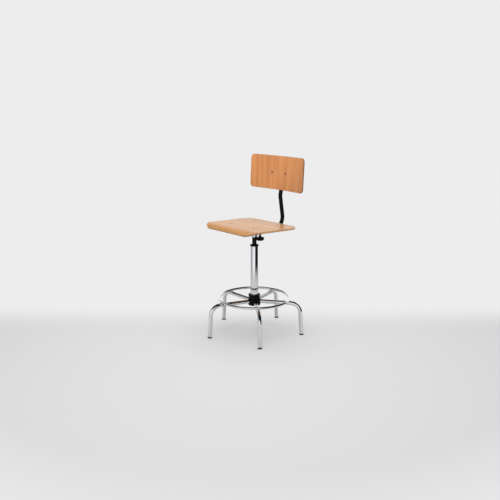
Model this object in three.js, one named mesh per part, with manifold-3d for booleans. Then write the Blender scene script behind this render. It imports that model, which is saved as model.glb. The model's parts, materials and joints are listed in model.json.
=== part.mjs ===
// Drafting chair: five-legged chromed base with a footrest ring, a gas lift column, a moulded beech
// seat on a pressed steel mechanism, and a beech backrest on a bent bar that slides under the seat.
// Millimetres, +Z up. The sitter faces -Y; the floor is z = 0.
import * as THREE from 'three';
import { mergeVertices } from 'three/addons/utils/BufferGeometryUtils.js';
import Module from 'manifold-3d';

const wasm = await Module();
wasm.setup();

const radians = THREE.MathUtils.degToRad;

// ---------------------------------------------------------------------------
// Driving dimensions
// ---------------------------------------------------------------------------
const GAP = 0.3;                    // air between pieces that touch on the real chair

// Facets around round pieces
const ROUND_SIDES = 24;
const COLUMN_SIDES = 32;
const RIVET_SIDES = 12;
const LEG_SIDES = 12;
const RING_SIDES = 8;

// Base
const LEG_COUNT = 5;
const FIRST_LEG_ANGLE = 180;        // degrees from +X
const FOOT_CIRCLE_R = 308;          // where the leg centre lines meet the floor
const LEG_R = 12.5;
const LEG_WALL = 1.5;
const LEG_Z = 207;                  // centre line of the horizontal run
const LEG_BEND_R = 62;
const LEG_SPLAY = radians(3.5);     // lower run, outwards from the vertical
const RING_R = 224.5;               // footrest centre line
const RING_TUBE_R = 8;
const RING_WALL = 1.5;
const GLIDE_R = 13.5;
const GLIDE_HEIGHT = 8;
const GLIDE_STEM = 22;
const GLIDE_CHAMFER = 1.5;

// Hub and column
const HUB_WALL = 11;                // hub body around the column
const HUB_LIP = 2.5;                // flanges, beyond the hub body
const HUB_FLANGE = 6;
const HUB_CHAMFER = 2;
const HUB_BELOW_LEG = 25;           // hub bottom, below the leg centre line
const HUB_ABOVE_LEG = 45;           // hub top, above the leg centre line
const HUB_FLOOR = 8;
const SOCKET_BOSS_WALL = 3.5;
const SOCKET_BOSS_PROUD = 4;        // boss face, beyond the hub body
const COLUMN_R = 25;
const COLUMN_WALL = 1.5;
const COLUMN_TOP = 568;
const COLUMN_FLOOR = 5;             // thickness of the plate that carries the bearing
const BUSH_OVERHANG = 2;            // bush flange, beyond the column
const BUSH_FLANGE = 9;
const BUSH_SLEEVE = 70;
const BUSH_EDGE = 0.8;              // bevel under the bush flange
const BUSH_CHAMFER = 2;             // and on top of it
const LEG_START_CLEAR = 4;          // leg tube's inner end, beyond the column
const COLUMN_FLOOR_INSET = 1;       // bearing's plate, above the column's bottom

// Gas lift
const CYLINDER_R = 14;
const CYLINDER_WALL = 2;
const CYLINDER_BOTTOM = 270;
const CYLINDER_CAP = 12;
const TAPER_DROP = 0.8;             // radius lost along the taper
const TAPER_LENGTH = 30;
const ROD_R = 5;
const ROD_TOP = 560;
const ROD_SHOULDER = 2.5;           // step that sits on the bearing
const PISTON_LENGTH = 12;
const PISTON_SLACK = 0.6;
const VALVE_PIN_R = 4;
const VALVE_PIN_ROOM = 5;           // between the lever rod and the cylinder's top
const RACE_R = 12;
const RACE = 2;
const CAGE = 4;
const CAGE_SLACK = 1.5;
const CAGE_CHAMFER = 1;
const CLIP = 2.5;                   // rod clip: thickness
const CLIP_RIM = 5;                 // rod clip: beyond the rod
const CAGE_INSET = 0.5;             // cage rim, inside the races
const ROD_END_INSET = 2;            // rod's end, above the hub's bottom
const ROD_SHOULDER_LENGTH = 5;
const VALVE_PIN_RISE = 5;           // valve pin's foot, inside the cylinder's cap

// Seat: heights are of the top face on the column axis
const SEAT_Z = 705;
const SEAT_TILT = radians(2.3);     // front edge up
const SEAT_WIDTH = 460;
const SEAT_DEPTH = 407;
const SEAT_REAR = 172;              // rear edge, behind the column axis
const SEAT_THICK = 11;
const SEAT_CORNER_R = 72;
const SEAT_ROLL_R = 90;             // waterfall front edge, top face
const SEAT_ROLL = radians(42);
const SEAT_RIVETS_X = 205;
const SEAT_RIVETS_Y = 200;

// Mechanism under the seat
const PLATE = 3;
const PLATE_MARGIN = 17;            // plate edge beyond the rivets
const PLATE_SPINE = 120;            // width of the plate between its cross arms
const PLATE_ARM = 36;
const CHEEK = 3;
const CHEEK_FRONT = -55;
const SOCKET_WALL = 3.4;
const SOCKET_LIP = 1;               // socket above the cylinder
const SOCKET_DROP = 79;             // socket mouth, below the seat face
const LEVER_DROP = 34;              // lever axis, below the seat face
const LUG = 2.5;                    // lever bracket's sheet
const LUG_SLACK = 0.5;              // each side of the lever's eye
const LUG_MARGIN = 1;               // bracket beyond the eye, fore and aft
const PIN_PROUD = 1.5;              // lever pin, beyond each lug

// Back bar
const BAR_DROP = 57;                // horizontal run, below the seat face
const BAR_WIDTH = 30;
const BAR_THICK = 15;
const BAR_WALL = 2;
const BAR_FRONT = 20;               // inner end, behind the column axis
const BAR_HEEL_Y = 259;
const BAR_HEEL_R = 77;
const BAR_WAIST_Y = 223.3;
const BAR_WAIST_R = 60;
const BAR_WAIST_DROP = 145;         // waist, below the backrest centre
const BAR_NECK_R = 80;
const BAR_NECK_DROP = 81;
const BAR_RISE = 25;                // top end, above the backrest centre
const BAR_SLACK = 0.4;              // between the bar and its sleeve
const SLEEVE_WALL = 2.3;
const SLEEVE_FRONT = 21;
const SLEEVE_REAR = 120;
const CHEEK_OVERLAP = 3;            // cheek's foot, above the sleeve's underside
const CHEEK_STEP_DROP = 12;         // cheek's front corner, below the lever axis
const CHEEK_TOE = 4;                // rise of the cheek's toe beside the socket
const CHEEK_CUT = 6;                // its cut corners
const LEVER_WAY = 2;                // slot around the lever rod, at its sides and above
const LEVER_WAY_UNDER = 5;          // and below
const SLEEVE_BORE_CORNER = 0.5;

// Clamp knob
const KNOB_Y = 48;
const KNOB_R = 26;
const KNOB_HEIGHT = 20;
const KNOB_NECK_R = 8;
const KNOB_NECK = 10;
const KNOB_LOBES = 6;
const CLAMP_SCREW_R = 4;
const CLAMP_NUT_R = 8.5;
const CLAMP_NUT = 8;
const CLAMP_SCREW_GRIP = 14;        // screw inside the knob
const PAD_R = 5;
const PAD_LIFT = 0.5;               // pad, above the sleeve's underside
const PAD_ROOM = 3;                 // depth that the nut leaves for the pad to back off
const KNOB_FLUTE_R = 9;
const KNOB_FLUTE_DEPTH = 2.5;
const KNOB_CLEAR = 3;               // bare screw between nut and knob
const KNOB_FOOT = 7;                // underside's flat, inside the rim
const KNOB_BELLY = 2;
const KNOB_BELLY_RISE = 3;
const KNOB_RIM_RISE = 8;            // where the knob reaches its full radius
const KNOB_SHOULDER = 3;
const KNOB_NECK_FLARE = 1.5;
const KNOB_NECK_FLARE_RISE = 2;

// Height lever
const LEVER_R = 4;
const LEVER_PIVOT_X = -36;
const LEVER_EYE_R = 7;
const LEVER_EYE = 12;
const LEVER_PIN_R = 3;
const LEVER_CRANK_X = -62;          // where the rod starts to step down
const LEVER_CRANK_RUN = 25;
const LEVER_CRANK_DROP = 11;
const LEVER_CRANK_R = 14;
const LEVER_END_X = -212;
const GRIP_LENGTH = 66;
const GRIP_R = 7.5;
const GRIP_CAP = 12;                // solid end of the grip
const GRIP_NOSE = 3;                // chamfer of both ends
const GRIP_SWELL = 0.5;
const GRIP_SWELL_AT = 0.45;         // share of the length
const GRIP_WAIST = 1.5;
const GRIP_WAIST_BACK = 2;          // before the open end

// Backrest
const BACK_RISE = 306;              // centre, above the seat face
const BACK_Y = 208;                 // front face on the mid plane
const BACK_TILT = radians(3.2);     // top edge back
const BACK_WIDTH = 470;
const BACK_HEIGHT = 215;
const BACK_THICK = 10;
const BACK_CURVE_R = 1030;
const BACK_CORNER_R = 25;
const BACK_RIVETS_X = 120;
const BAR_PLUG = 3;                 // cap on the bar's upper end
const BAR_PLUG_STEM = 10;
const BRACKET = 3;
const BRACKET_WIDTH = 152;
const BRACKET_HEIGHT = 46;
const PIVOT_DEPTH = 30;             // pivot axis, behind the backrest's front face
const PIVOT_R = 4;
const PIVOT_BUSH_R = 6;
const EAR_REACH = 9;                // ear beyond the pivot axis
const EAR_SLACK = 1.2;              // between the bar and each ear
const BOLT_HEAD = 5;
const BOLT_HEAD_RIM = 3;            // bolt head and nut, beyond the bolt
const NUT = 6.5;
const BOLT_PROUD = 1.5;             // bolt end, beyond the nut
const EAR_ROOT_SHARE = 0.8;         // of the bracket's height
const EAR_ROOT = 4;                 // ear's straight root, behind the strap
const RIVET_HOLE_DEPTH = 30;
const CAP_SLACK = 0.2;
const PIVOT_BUSH_PROUD = 0.5;

// Tubular rivets
const RIVET_HEAD_R = 7.5;
const RIVET_HEAD = 1.4;
const RIVET_SHANK_R = 4.2;
const RIVET_BORE_R = 2.8;
const RIVET_TAIL_R = 6;
const RIVET_TAIL = 1.2;
const RIVET_SINK = 0.8;             // head rim below the wood's face
const RIVET_RIM = 0.5;              // depth of the head's bevelled rim
const RIVET_CROWN = 0.8;            // width of that bevel
const RIVET_CUP_RIM = 1.4;          // cup's edge beyond the bore
const RIVET_CUP_SLOPE = 0.9;        // cup's depth at that edge
const RIVET_CUP = 2.6;              // depth where the cup meets the bore

// Fineness of the faceted curves, and what tools and joins reach past
const BEND_STEP = 11;               // degrees between stations in a tube's bend
const LEVER_BEND_STEP = 12;
const RING_STEPS = 40;
const LEVER_SIDES = 12;
const OVAL_STEPS = 4;
const CAP_STEPS = 6;
const SHEET_STEPS = 6;
const SLEEVE_STEPS = 2;
const PANEL_CORNER_STEPS = 8;
const SEAT_ROLL_STEPS = 10;
const BACK_CURVE_STEPS = 12;
const HEXAGON = 6;
const CUT_OVER = 1;                 // a cutting tool, past what it cuts
const JOIN_OVER = 1;                // a joined solid, into its neighbour
const EDGE = 1;                     // chamfer of turned edges

// ---------------------------------------------------------------------------
// Worked-out places
// ---------------------------------------------------------------------------
const RING_Z = LEG_Z + LEG_R + GAP + RING_TUBE_R;
const LEG_TURN = Math.PI / 2 - LEG_SPLAY;
const LEG_BEND_END_Z = LEG_Z - LEG_BEND_R * (1 - Math.cos(LEG_TURN));
const LEG_BEND_END_R = FOOT_CIRCLE_R - LEG_BEND_END_Z * Math.tan(LEG_SPLAY);
const LEG_BEND_START_R = LEG_BEND_END_R - LEG_BEND_R * Math.sin(LEG_TURN);
// The tube is cut square, so its tilted end stays just clear of the glide's flat head.
const LEG_END_Z = GLIDE_HEIGHT + GAP + LEG_R * Math.sin(LEG_SPLAY);

const HUB_R = COLUMN_R + HUB_WALL;
const HUB_FLANGE_R = HUB_R + HUB_LIP;
const HUB_BOTTOM = LEG_Z - HUB_BELOW_LEG;
const HUB_TOP = LEG_Z + HUB_ABOVE_LEG;
const COLUMN_BOTTOM = HUB_BOTTOM + HUB_FLOOR + GAP;
const COLUMN_BORE_R = COLUMN_R - COLUMN_WALL;
// What still fits inside the column tube's flats.
const COLUMN_FIT_R = COLUMN_BORE_R * Math.cos(Math.PI / COLUMN_SIDES) - GAP;
const BUSH_FLANGE_R = COLUMN_R + BUSH_OVERHANG;
const COLUMN_FLOOR_Z = COLUMN_BOTTOM + COLUMN_FLOOR_INSET;
const LOWER_RACE_Z = COLUMN_FLOOR_Z + COLUMN_FLOOR + GAP;
const CAGE_Z = LOWER_RACE_Z + RACE + GAP;
const UPPER_RACE_Z = CAGE_Z + CAGE + GAP;
const ROD_SHOULDER_Z = UPPER_RACE_Z + RACE + GAP;
const ROD_SHOULDER_R = ROD_R + ROD_SHOULDER;
const ROD_BOTTOM = HUB_BOTTOM + ROD_END_INSET;
const LEG_START_R = COLUMN_R + GAP + LEG_START_CLEAR;

const SEAT_RUN = SEAT_ROLL_R * Math.sin(SEAT_ROLL);
const SEAT_FRONT = SEAT_REAR - SEAT_DEPTH;
const PLATE_TOP = -SEAT_THICK - GAP;
const PLATE_UNDER = PLATE_TOP - PLATE;
const SOCKET_BOTTOM = SEAT_Z - SOCKET_DROP;
const LEVER_Z = SEAT_Z - LEVER_DROP;
const CYLINDER_TOP = LEVER_Z - LEVER_R - GAP - VALVE_PIN_ROOM;
const SOCKET_TOP = CYLINDER_TOP + SOCKET_LIP;
const BAR_Z = SEAT_Z - BAR_DROP;
const SLEEVE_HALF_X = BAR_WIDTH / 2 + BAR_SLACK + SLEEVE_WALL;
const SLEEVE_HALF_Z = BAR_THICK / 2 + BAR_SLACK + SLEEVE_WALL;
const SLEEVE_UNDER = BAR_Z - SLEEVE_HALF_Z;
const CHEEK_X = SLEEVE_HALF_X + GAP;
const SOCKET_R = CYLINDER_R + SOCKET_WALL;
const LUG_IN = LEVER_EYE / 2 + LUG_SLACK;
const LEVER_LOW_Z = LEVER_Z - LEVER_CRANK_DROP;

const CLAMP_NUT_TOP = SLEEVE_UNDER - GAP;
const PAD_TOP = BAR_Z - BAR_THICK / 2 - GAP;
const PAD_BOTTOM = SLEEVE_UNDER + PAD_LIFT;
const SCREW_TOP = PAD_BOTTOM - GAP;
const NECK_TOP = CLAMP_NUT_TOP - CLAMP_NUT - KNOB_CLEAR;
const KNOB_TOP = NECK_TOP - KNOB_NECK;
const KNOB_BOTTOM = KNOB_TOP - KNOB_HEIGHT;
const SCREW_BOTTOM = KNOB_TOP - CLAMP_SCREW_GRIP;

const BACK_Z = SEAT_Z + BACK_RISE;
const BAR_TOP = BACK_Z + BAR_RISE;
const PIVOT_Y = BACK_Y + PIVOT_DEPTH * Math.cos(BACK_TILT);
const PIVOT_Z = BACK_Z - PIVOT_DEPTH * Math.sin(BACK_TILT);
const EAR_IN = BAR_WIDTH / 2 + EAR_SLACK;
const EAR_OUT = EAR_IN + BRACKET;
const BOLT_HEAD_R = PIVOT_R + BOLT_HEAD_RIM;

// The footprint's box is centred on the origin: one leg points along -X, and its far neighbours
// reach only cos(36 degrees) as far along +X.
const AXIS_X = (FOOT_CIRCLE_R * (1 - Math.cos(Math.PI / LEG_COUNT))) / 2;

// ---------------------------------------------------------------------------
// Geometry helpers
// ---------------------------------------------------------------------------

// Radius for a faceted bore that clears a shaft of radius r by the usual gap, at its flats too.
function boreRadius(r, sides = ROUND_SIDES) {
  return (r + GAP) / Math.cos(Math.PI / sides);
}

// A geometry reduced to shared positions, with no collapsed triangles.
function welded(geometry) {
  const plain = new THREE.BufferGeometry();
  plain.setAttribute('position', geometry.getAttribute('position').clone());
  if (geometry.index) plain.setIndex(geometry.index.clone());
  const merged = mergeVertices(plain, 1e-4);
  const kept = [];
  const index = merged.index.array;
  for (let i = 0; i < index.length; i += 3) {
    const [a, b, c] = [index[i], index[i + 1], index[i + 2]];
    if (a !== b && b !== c && c !== a) kept.push(a, b, c);
  }
  merged.setIndex(kept);
  return merged;
}

function toManifold(geometry) {
  const plain = welded(geometry);
  return new wasm.Manifold(new wasm.Mesh({
    numProp: 3,
    vertProperties: new Float32Array(plain.getAttribute('position').array),
    triVerts: new Uint32Array(plain.index.array),
  }));
}

function fromManifold(manifold) {
  const mesh = manifold.getMesh();
  const geometry = new THREE.BufferGeometry();
  geometry.setAttribute('position', new THREE.BufferAttribute(new Float32Array(mesh.vertProperties), 3));
  geometry.setIndex(Array.from(mesh.triVerts));
  return geometry;
}

function cut(base, ...tools) {
  return fromManifold(tools.reduce((solid, tool) => solid.subtract(toManifold(tool)), toManifold(base)));
}

function join(base, ...others) {
  return fromManifold(others.reduce((solid, other) => solid.add(toManifold(other)), toManifold(base)));
}

function overlapOf(base, other) {
  return fromManifold(toManifold(base).intersect(toManifold(other)));
}

// A solid of revolution about Z. The profile is [r, z] pairs, anticlockwise, open on the axis or closed.
function turned(profile, sides = ROUND_SIDES) {
  const points = profile.map(([r, z]) => new THREE.Vector2(r, z));
  if (profile[0][0] > 0) points.push(points[0].clone());
  return welded(new THREE.LatheGeometry(points, sides).rotateX(Math.PI / 2));
}

function disc(r, z0, z1, sides = ROUND_SIDES) {
  return turned([[0, z0], [r, z0], [r, z1], [0, z1]], sides);
}

function washer(rIn, rOut, z0, z1, sides = ROUND_SIDES) {
  return turned([[rIn, z0], [rOut, z0], [rOut, z1], [rIn, z1]], sides);
}

// A block between two corners.
function block(x0, x1, y0, y1, z0, z1) {
  return new THREE.BoxGeometry(x1 - x0, y1 - y0, z1 - z0)
    .translate((x0 + x1) / 2, (y0 + y1) / 2, (z0 + z1) / 2);
}

// A round bar along X or Y, centred on a point.
function crossPin(axis, r, length, centre) {
  const pin = disc(r, -length / 2, length / 2);
  if (axis === 'x') pin.rotateY(Math.PI / 2);
  else pin.rotateX(Math.PI / 2);
  return pin.translate(...centre);
}

// A flat outline in the XY plane raised from z0 to z1; each arc in it is drawn with arcSteps chords.
function raised(shape, z0, z1, arcSteps = 8) {
  const options = { depth: z1 - z0, bevelEnabled: false, curveSegments: arcSteps / 2 };
  return new THREE.ExtrudeGeometry(shape, options).translate(0, 0, z0);
}

function roundedRectangle(x0, x1, y0, y1, r) {
  const shape = new THREE.Shape();
  shape.moveTo(x0 + r, y0);
  shape.lineTo(x1 - r, y0);
  shape.absarc(x1 - r, y0 + r, r, -Math.PI / 2, 0);
  shape.lineTo(x1, y1 - r);
  shape.absarc(x1 - r, y1 - r, r, 0, Math.PI / 2);
  shape.lineTo(x0 + r, y1);
  shape.absarc(x0 + r, y1 - r, r, Math.PI / 2, Math.PI);
  shape.lineTo(x0, y0 + r);
  shape.absarc(x0 + r, y0 + r, r, Math.PI, 1.5 * Math.PI);
  return shape;
}

// A path that an extrusion follows through its own stations, so straights stay cheap.
class StationPath extends THREE.Curve {
  constructor(points) {
    super();
    this.points = points;
  }

  getPointAt(u, target = new THREE.Vector3()) {
    return target.copy(this.points[Math.round(u * (this.points.length - 1))]);
  }

  getTangentAt(u, target = new THREE.Vector3()) {
    const i = Math.round(u * (this.points.length - 1));
    const here = this.points[i];
    const back = i > 0 ? here.clone().sub(this.points[i - 1]).normalize() : new THREE.Vector3();
    const on = i < this.points.length - 1
      ? this.points[i + 1].clone().sub(here).normalize()
      : new THREE.Vector3();
    return target.copy(back).add(on).normalize();
  }
}

function swept(section, points, arcSteps) {
  const extrudePath = new StationPath(points);
  const options = { steps: points.length - 1, extrudePath, curveSegments: arcSteps / 2 };
  return new THREE.ExtrudeGeometry(section, options);
}

// Stations along straight runs joined by arcs: corners are {point, r}, in one plane.
function filletedRoute(corners, degreesPerStep) {
  const stations = [corners[0].point.clone()];
  for (let i = 1; i < corners.length - 1; i += 1) {
    const { point, r } = corners[i];
    const inward = corners[i - 1].point.clone().sub(point).normalize();
    const outward = corners[i + 1].point.clone().sub(point).normalize();
    const turn = Math.PI - inward.angleTo(outward);
    const setback = r * Math.tan(turn / 2);
    const towardsCentre = inward.clone().add(outward).normalize();
    const centre = point.clone().addScaledVector(towardsCentre, r / Math.cos(turn / 2));
    const from = point.clone().addScaledVector(inward, setback).sub(centre);
    const axis = from.clone().cross(point.clone().addScaledVector(outward, setback).sub(centre)).normalize();
    const steps = Math.max(2, Math.round(THREE.MathUtils.radToDeg(turn) / degreesPerStep));
    for (let k = 0; k <= steps; k += 1) {
      stations.push(from.clone().applyAxisAngle(axis, (turn * k) / steps).add(centre));
    }
  }
  stations.push(corners[corners.length - 1].point.clone());
  return stations;
}

// A round tube section with its bore.
function tubeSection(r, wall) {
  const section = new THREE.Shape().absarc(0, 0, r, 0, 2 * Math.PI);
  section.holes.push(new THREE.Path().absarc(0, 0, r - wall, 0, 2 * Math.PI, true));
  return section;
}

// A flat-sided oval: half circles joined by straights along the section's y.
function ovalLoop(loop, width, thick) {
  const r = thick / 2;
  const straight = width / 2 - r;
  loop.moveTo(r, -straight);
  loop.lineTo(r, straight);
  loop.absarc(0, straight, r, 0, Math.PI);
  loop.lineTo(-r, -straight);
  loop.absarc(0, -straight, r, Math.PI, 2 * Math.PI);
  return loop;
}

// ---------------------------------------------------------------------------
// Finishes and nodes
// ---------------------------------------------------------------------------
const FINISH = {
  chrome: { color: 0xd8dadd, roughness: 0.08, metalness: 1 },
  zinc: { color: 0xb9bcbf, roughness: 0.35, metalness: 1 },
  blackSteel: { color: 0x111214, roughness: 0.4, metalness: 0.2 },
  blackPlastic: { color: 0x17181a, roughness: 0.55, metalness: 0 },
  bushPlastic: { color: 0xdedbd0, roughness: 0.5, metalness: 0 },
  brass: { color: 0xc2a15a, roughness: 0.35, metalness: 1 },
  seatBeech: { color: 0xdeb492, roughness: 0.45, metalness: 0 },
  backBeech: { color: 0xd0905f, roughness: 0.42, metalness: 0 },
};

function node(name, geometry, finish) {
  const mesh = new THREE.Mesh(geometry, new THREE.MeshStandardMaterial(FINISH[finish]));
  mesh.name = name;
  return mesh;
}

function group(...children) {
  const parent = new THREE.Group();
  parent.add(...children);
  return parent;
}

// ---------------------------------------------------------------------------
// Base
// ---------------------------------------------------------------------------
// A point on a leg's sloping lower run, at height z.
function onLowerRun(z) {
  return new THREE.Vector3(FOOT_CIRCLE_R - z * Math.tan(LEG_SPLAY), 0, z);
}

function legTube() {
  const knee = LEG_BEND_R * Math.tan(LEG_TURN / 2);
  const corners = [
    { point: new THREE.Vector3(LEG_START_R, 0, LEG_Z) },
    { point: new THREE.Vector3(LEG_BEND_START_R + knee, 0, LEG_Z), r: LEG_BEND_R },
    { point: onLowerRun(LEG_END_Z) },
  ];
  return swept(tubeSection(LEG_R, LEG_WALL), filletedRoute(corners, BEND_STEP), LEG_SIDES);
}

function glide() {
  const head = turned([
    [0, 0],
    [GLIDE_R - GLIDE_CHAMFER, 0],
    [GLIDE_R, GLIDE_CHAMFER],
    [GLIDE_R, GLIDE_HEIGHT],
    [0, GLIDE_HEIGHT],
  ]).translate(FOOT_CIRCLE_R, 0, 0);
  const stemR = (LEG_R - LEG_WALL) * Math.cos(Math.PI / LEG_SIDES) - GAP;
  const root = onLowerRun(GLIDE_HEIGHT / 2);
  const stem = disc(stemR, 0, GLIDE_HEIGHT / 2 + GLIDE_STEM, LEG_SIDES)
    .rotateY(-LEG_SPLAY)
    .translate(root.x, 0, root.z);
  return join(head, stem);
}

// The ring is bent from one tube; its two ends meet at a butt joint over the first leg.
function footrestRing() {
  const jointAngle = GAP / RING_R;
  const stations = [];
  for (let k = 0; k <= RING_STEPS; k += 1) {
    const angle = jointAngle / 2 + ((2 * Math.PI - jointAngle) * k) / RING_STEPS;
    stations.push(new THREE.Vector3(RING_R * Math.cos(angle), RING_R * Math.sin(angle), RING_Z));
  }
  return swept(tubeSection(RING_TUBE_R, RING_WALL), stations, RING_SIDES).rotateZ(radians(FIRST_LEG_ANGLE));
}

function legAngle(i) {
  return radians(FIRST_LEG_ANGLE + (360 / LEG_COUNT) * i);
}

function hub() {
  let body = turned([
    [0, HUB_BOTTOM],
    [HUB_FLANGE_R - HUB_CHAMFER, HUB_BOTTOM],
    [HUB_FLANGE_R, HUB_BOTTOM + HUB_CHAMFER],
    [HUB_FLANGE_R, HUB_BOTTOM + HUB_FLANGE],
    [HUB_R, HUB_BOTTOM + HUB_FLANGE + HUB_CHAMFER],
    [HUB_R, HUB_TOP - HUB_FLANGE - HUB_CHAMFER],
    [HUB_FLANGE_R, HUB_TOP - HUB_FLANGE],
    [HUB_FLANGE_R, HUB_TOP - HUB_CHAMFER],
    [HUB_FLANGE_R - HUB_CHAMFER, HUB_TOP],
    [0, HUB_TOP],
  ], COLUMN_SIDES);
  const bossFace = HUB_R + SOCKET_BOSS_PROUD;
  const socketEnd = bossFace + CUT_OVER;
  const bosses = [];
  const sockets = [];
  for (let i = 0; i < LEG_COUNT; i += 1) {
    const outward = (r, from, to) => disc(r, from, to, LEG_SIDES)
      .rotateY(Math.PI / 2)
      .translate(0, 0, LEG_Z)
      .rotateZ(legAngle(i));
    bosses.push(outward(LEG_R + SOCKET_BOSS_WALL, COLUMN_R, bossFace));
    sockets.push(outward(boreRadius(LEG_R, LEG_SIDES), LEG_START_R - GAP, socketEnd));
  }
  body = join(body, ...bosses);
  const boreR = boreRadius(COLUMN_R, COLUMN_SIDES);
  const columnBore = disc(boreR, HUB_BOTTOM + HUB_FLOOR, HUB_TOP + CUT_OVER, COLUMN_SIDES);
  const clipAccess = disc(HUB_R / 2, HUB_BOTTOM - CUT_OVER, HUB_BOTTOM + HUB_FLOOR + CUT_OVER);
  return cut(body, columnBore, clipAccess, ...sockets);
}

function columnTube() {
  return washer(COLUMN_BORE_R, COLUMN_R, COLUMN_BOTTOM, COLUMN_TOP, COLUMN_SIDES);
}

function columnFloor() {
  return washer(boreRadius(ROD_R), COLUMN_FIT_R, COLUMN_FLOOR_Z, COLUMN_FLOOR_Z + COLUMN_FLOOR);
}

function bearingRace(z) {
  return washer(boreRadius(ROD_R), RACE_R, z, z + RACE);
}

function bearingCage() {
  const z = CAGE_Z;
  const top = CAGE_Z + CAGE;
  const rIn = ROD_R + CAGE_SLACK;
  const rOut = RACE_R - CAGE_INSET;
  return turned([
    [rIn, z + CAGE_CHAMFER],
    [rIn + CAGE_CHAMFER, z],
    [rOut - CAGE_CHAMFER, z],
    [rOut, z + CAGE_CHAMFER],
    [rOut, top - CAGE_CHAMFER],
    [rOut - CAGE_CHAMFER, top],
    [rIn + CAGE_CHAMFER, top],
    [rIn, top - CAGE_CHAMFER],
  ]);
}

function guideBush() {
  const bore = boreRadius(CYLINDER_R, COLUMN_SIDES);
  const seat = COLUMN_TOP + GAP;
  return turned([
    [bore, seat - BUSH_SLEEVE],
    [COLUMN_FIT_R, seat - BUSH_SLEEVE],
    [COLUMN_FIT_R, seat],
    [BUSH_FLANGE_R - BUSH_EDGE, seat],
    [BUSH_FLANGE_R, seat + BUSH_EDGE],
    [BUSH_FLANGE_R, seat + BUSH_FLANGE - BUSH_CHAMFER],
    [BUSH_FLANGE_R - BUSH_CHAMFER, seat + BUSH_FLANGE],
    [bore, seat + BUSH_FLANGE],
  ], COLUMN_SIDES);
}

function base() {
  const parts = group(
    node('hub', hub(), 'blackSteel'),
    node('footrest_ring', footrestRing(), 'chrome'),
    node('column_tube', columnTube(), 'chrome'),
    node('column_floor', columnFloor(), 'zinc'),
    node('bearing_lower_race', bearingRace(LOWER_RACE_Z), 'zinc'),
    node('bearing_cage', bearingCage(), 'bushPlastic'),
    node('guide_bush', guideBush(), 'blackPlastic'),
  );
  for (let i = 0; i < LEG_COUNT; i += 1) {
    const leg = group(
      node(`leg_${i + 1}`, legTube(), 'chrome'),
      node(`glide_${i + 1}`, glide(), 'blackPlastic'),
    );
    leg.rotation.z = legAngle(i);
    parts.add(leg);
  }
  return parts;
}

// ---------------------------------------------------------------------------
// Spindle: what turns with the seat but does not rise
// ---------------------------------------------------------------------------
function pistonRod() {
  const pistonR = CYLINDER_R - CYLINDER_WALL - PISTON_SLACK;
  return turned([
    [0, ROD_BOTTOM],
    [ROD_R, ROD_BOTTOM],
    [ROD_R, ROD_SHOULDER_Z],
    [ROD_SHOULDER_R, ROD_SHOULDER_Z],
    [ROD_SHOULDER_R, ROD_SHOULDER_Z + ROD_SHOULDER_LENGTH],
    [ROD_R, ROD_SHOULDER_Z + ROD_SHOULDER_LENGTH],
    [ROD_R, ROD_TOP - PISTON_LENGTH],
    [pistonR, ROD_TOP - PISTON_LENGTH],
    [pistonR, ROD_TOP],
    [0, ROD_TOP],
  ]);
}

function spindle() {
  const clipTop = COLUMN_BOTTOM - GAP;
  return group(
    node('piston_rod', pistonRod(), 'chrome'),
    node('bearing_upper_race', bearingRace(UPPER_RACE_Z), 'zinc'),
    node('rod_clip', washer(boreRadius(ROD_R), ROD_R + CLIP_RIM, clipTop - CLIP, clipTop), 'zinc'),
  );
}

// ---------------------------------------------------------------------------
// Seat unit
// ---------------------------------------------------------------------------

// Height of the mounting plate's underside at a distance behind the column axis, less the usual gap.
function underPlate(y) {
  return SEAT_Z + (PLATE_UNDER - GAP) / Math.cos(SEAT_TILT) - y * Math.tan(SEAT_TILT);
}

function gasCylinder() {
  const bore = CYLINDER_R - CYLINDER_WALL;
  const taperStart = CYLINDER_TOP - TAPER_LENGTH;
  const pinBore = boreRadius(VALVE_PIN_R);
  const rodBore = boreRadius(ROD_R);
  return turned([
    [rodBore, CYLINDER_BOTTOM],
    [CYLINDER_R - EDGE, CYLINDER_BOTTOM],
    [CYLINDER_R, CYLINDER_BOTTOM + EDGE],
    [CYLINDER_R, taperStart],
    [CYLINDER_R - TAPER_DROP, CYLINDER_TOP],
    [pinBore, CYLINDER_TOP],
    [pinBore, CYLINDER_TOP - CYLINDER_CAP],
    [bore, CYLINDER_TOP - CYLINDER_CAP],
    [bore, CYLINDER_BOTTOM + CYLINDER_CAP],
    [rodBore, CYLINDER_BOTTOM + CYLINDER_CAP],
  ]);
}

function taperSocket() {
  const wide = boreRadius(CYLINDER_R);
  const narrow = boreRadius(CYLINDER_R - TAPER_DROP);
  return turned([
    [wide, SOCKET_BOTTOM],
    [SOCKET_R - EDGE, SOCKET_BOTTOM],
    [SOCKET_R, SOCKET_BOTTOM + EDGE],
    [SOCKET_R, SOCKET_TOP],
    [narrow, SOCKET_TOP],
    [wide, CYLINDER_TOP - TAPER_LENGTH],
  ]);
}

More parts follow.
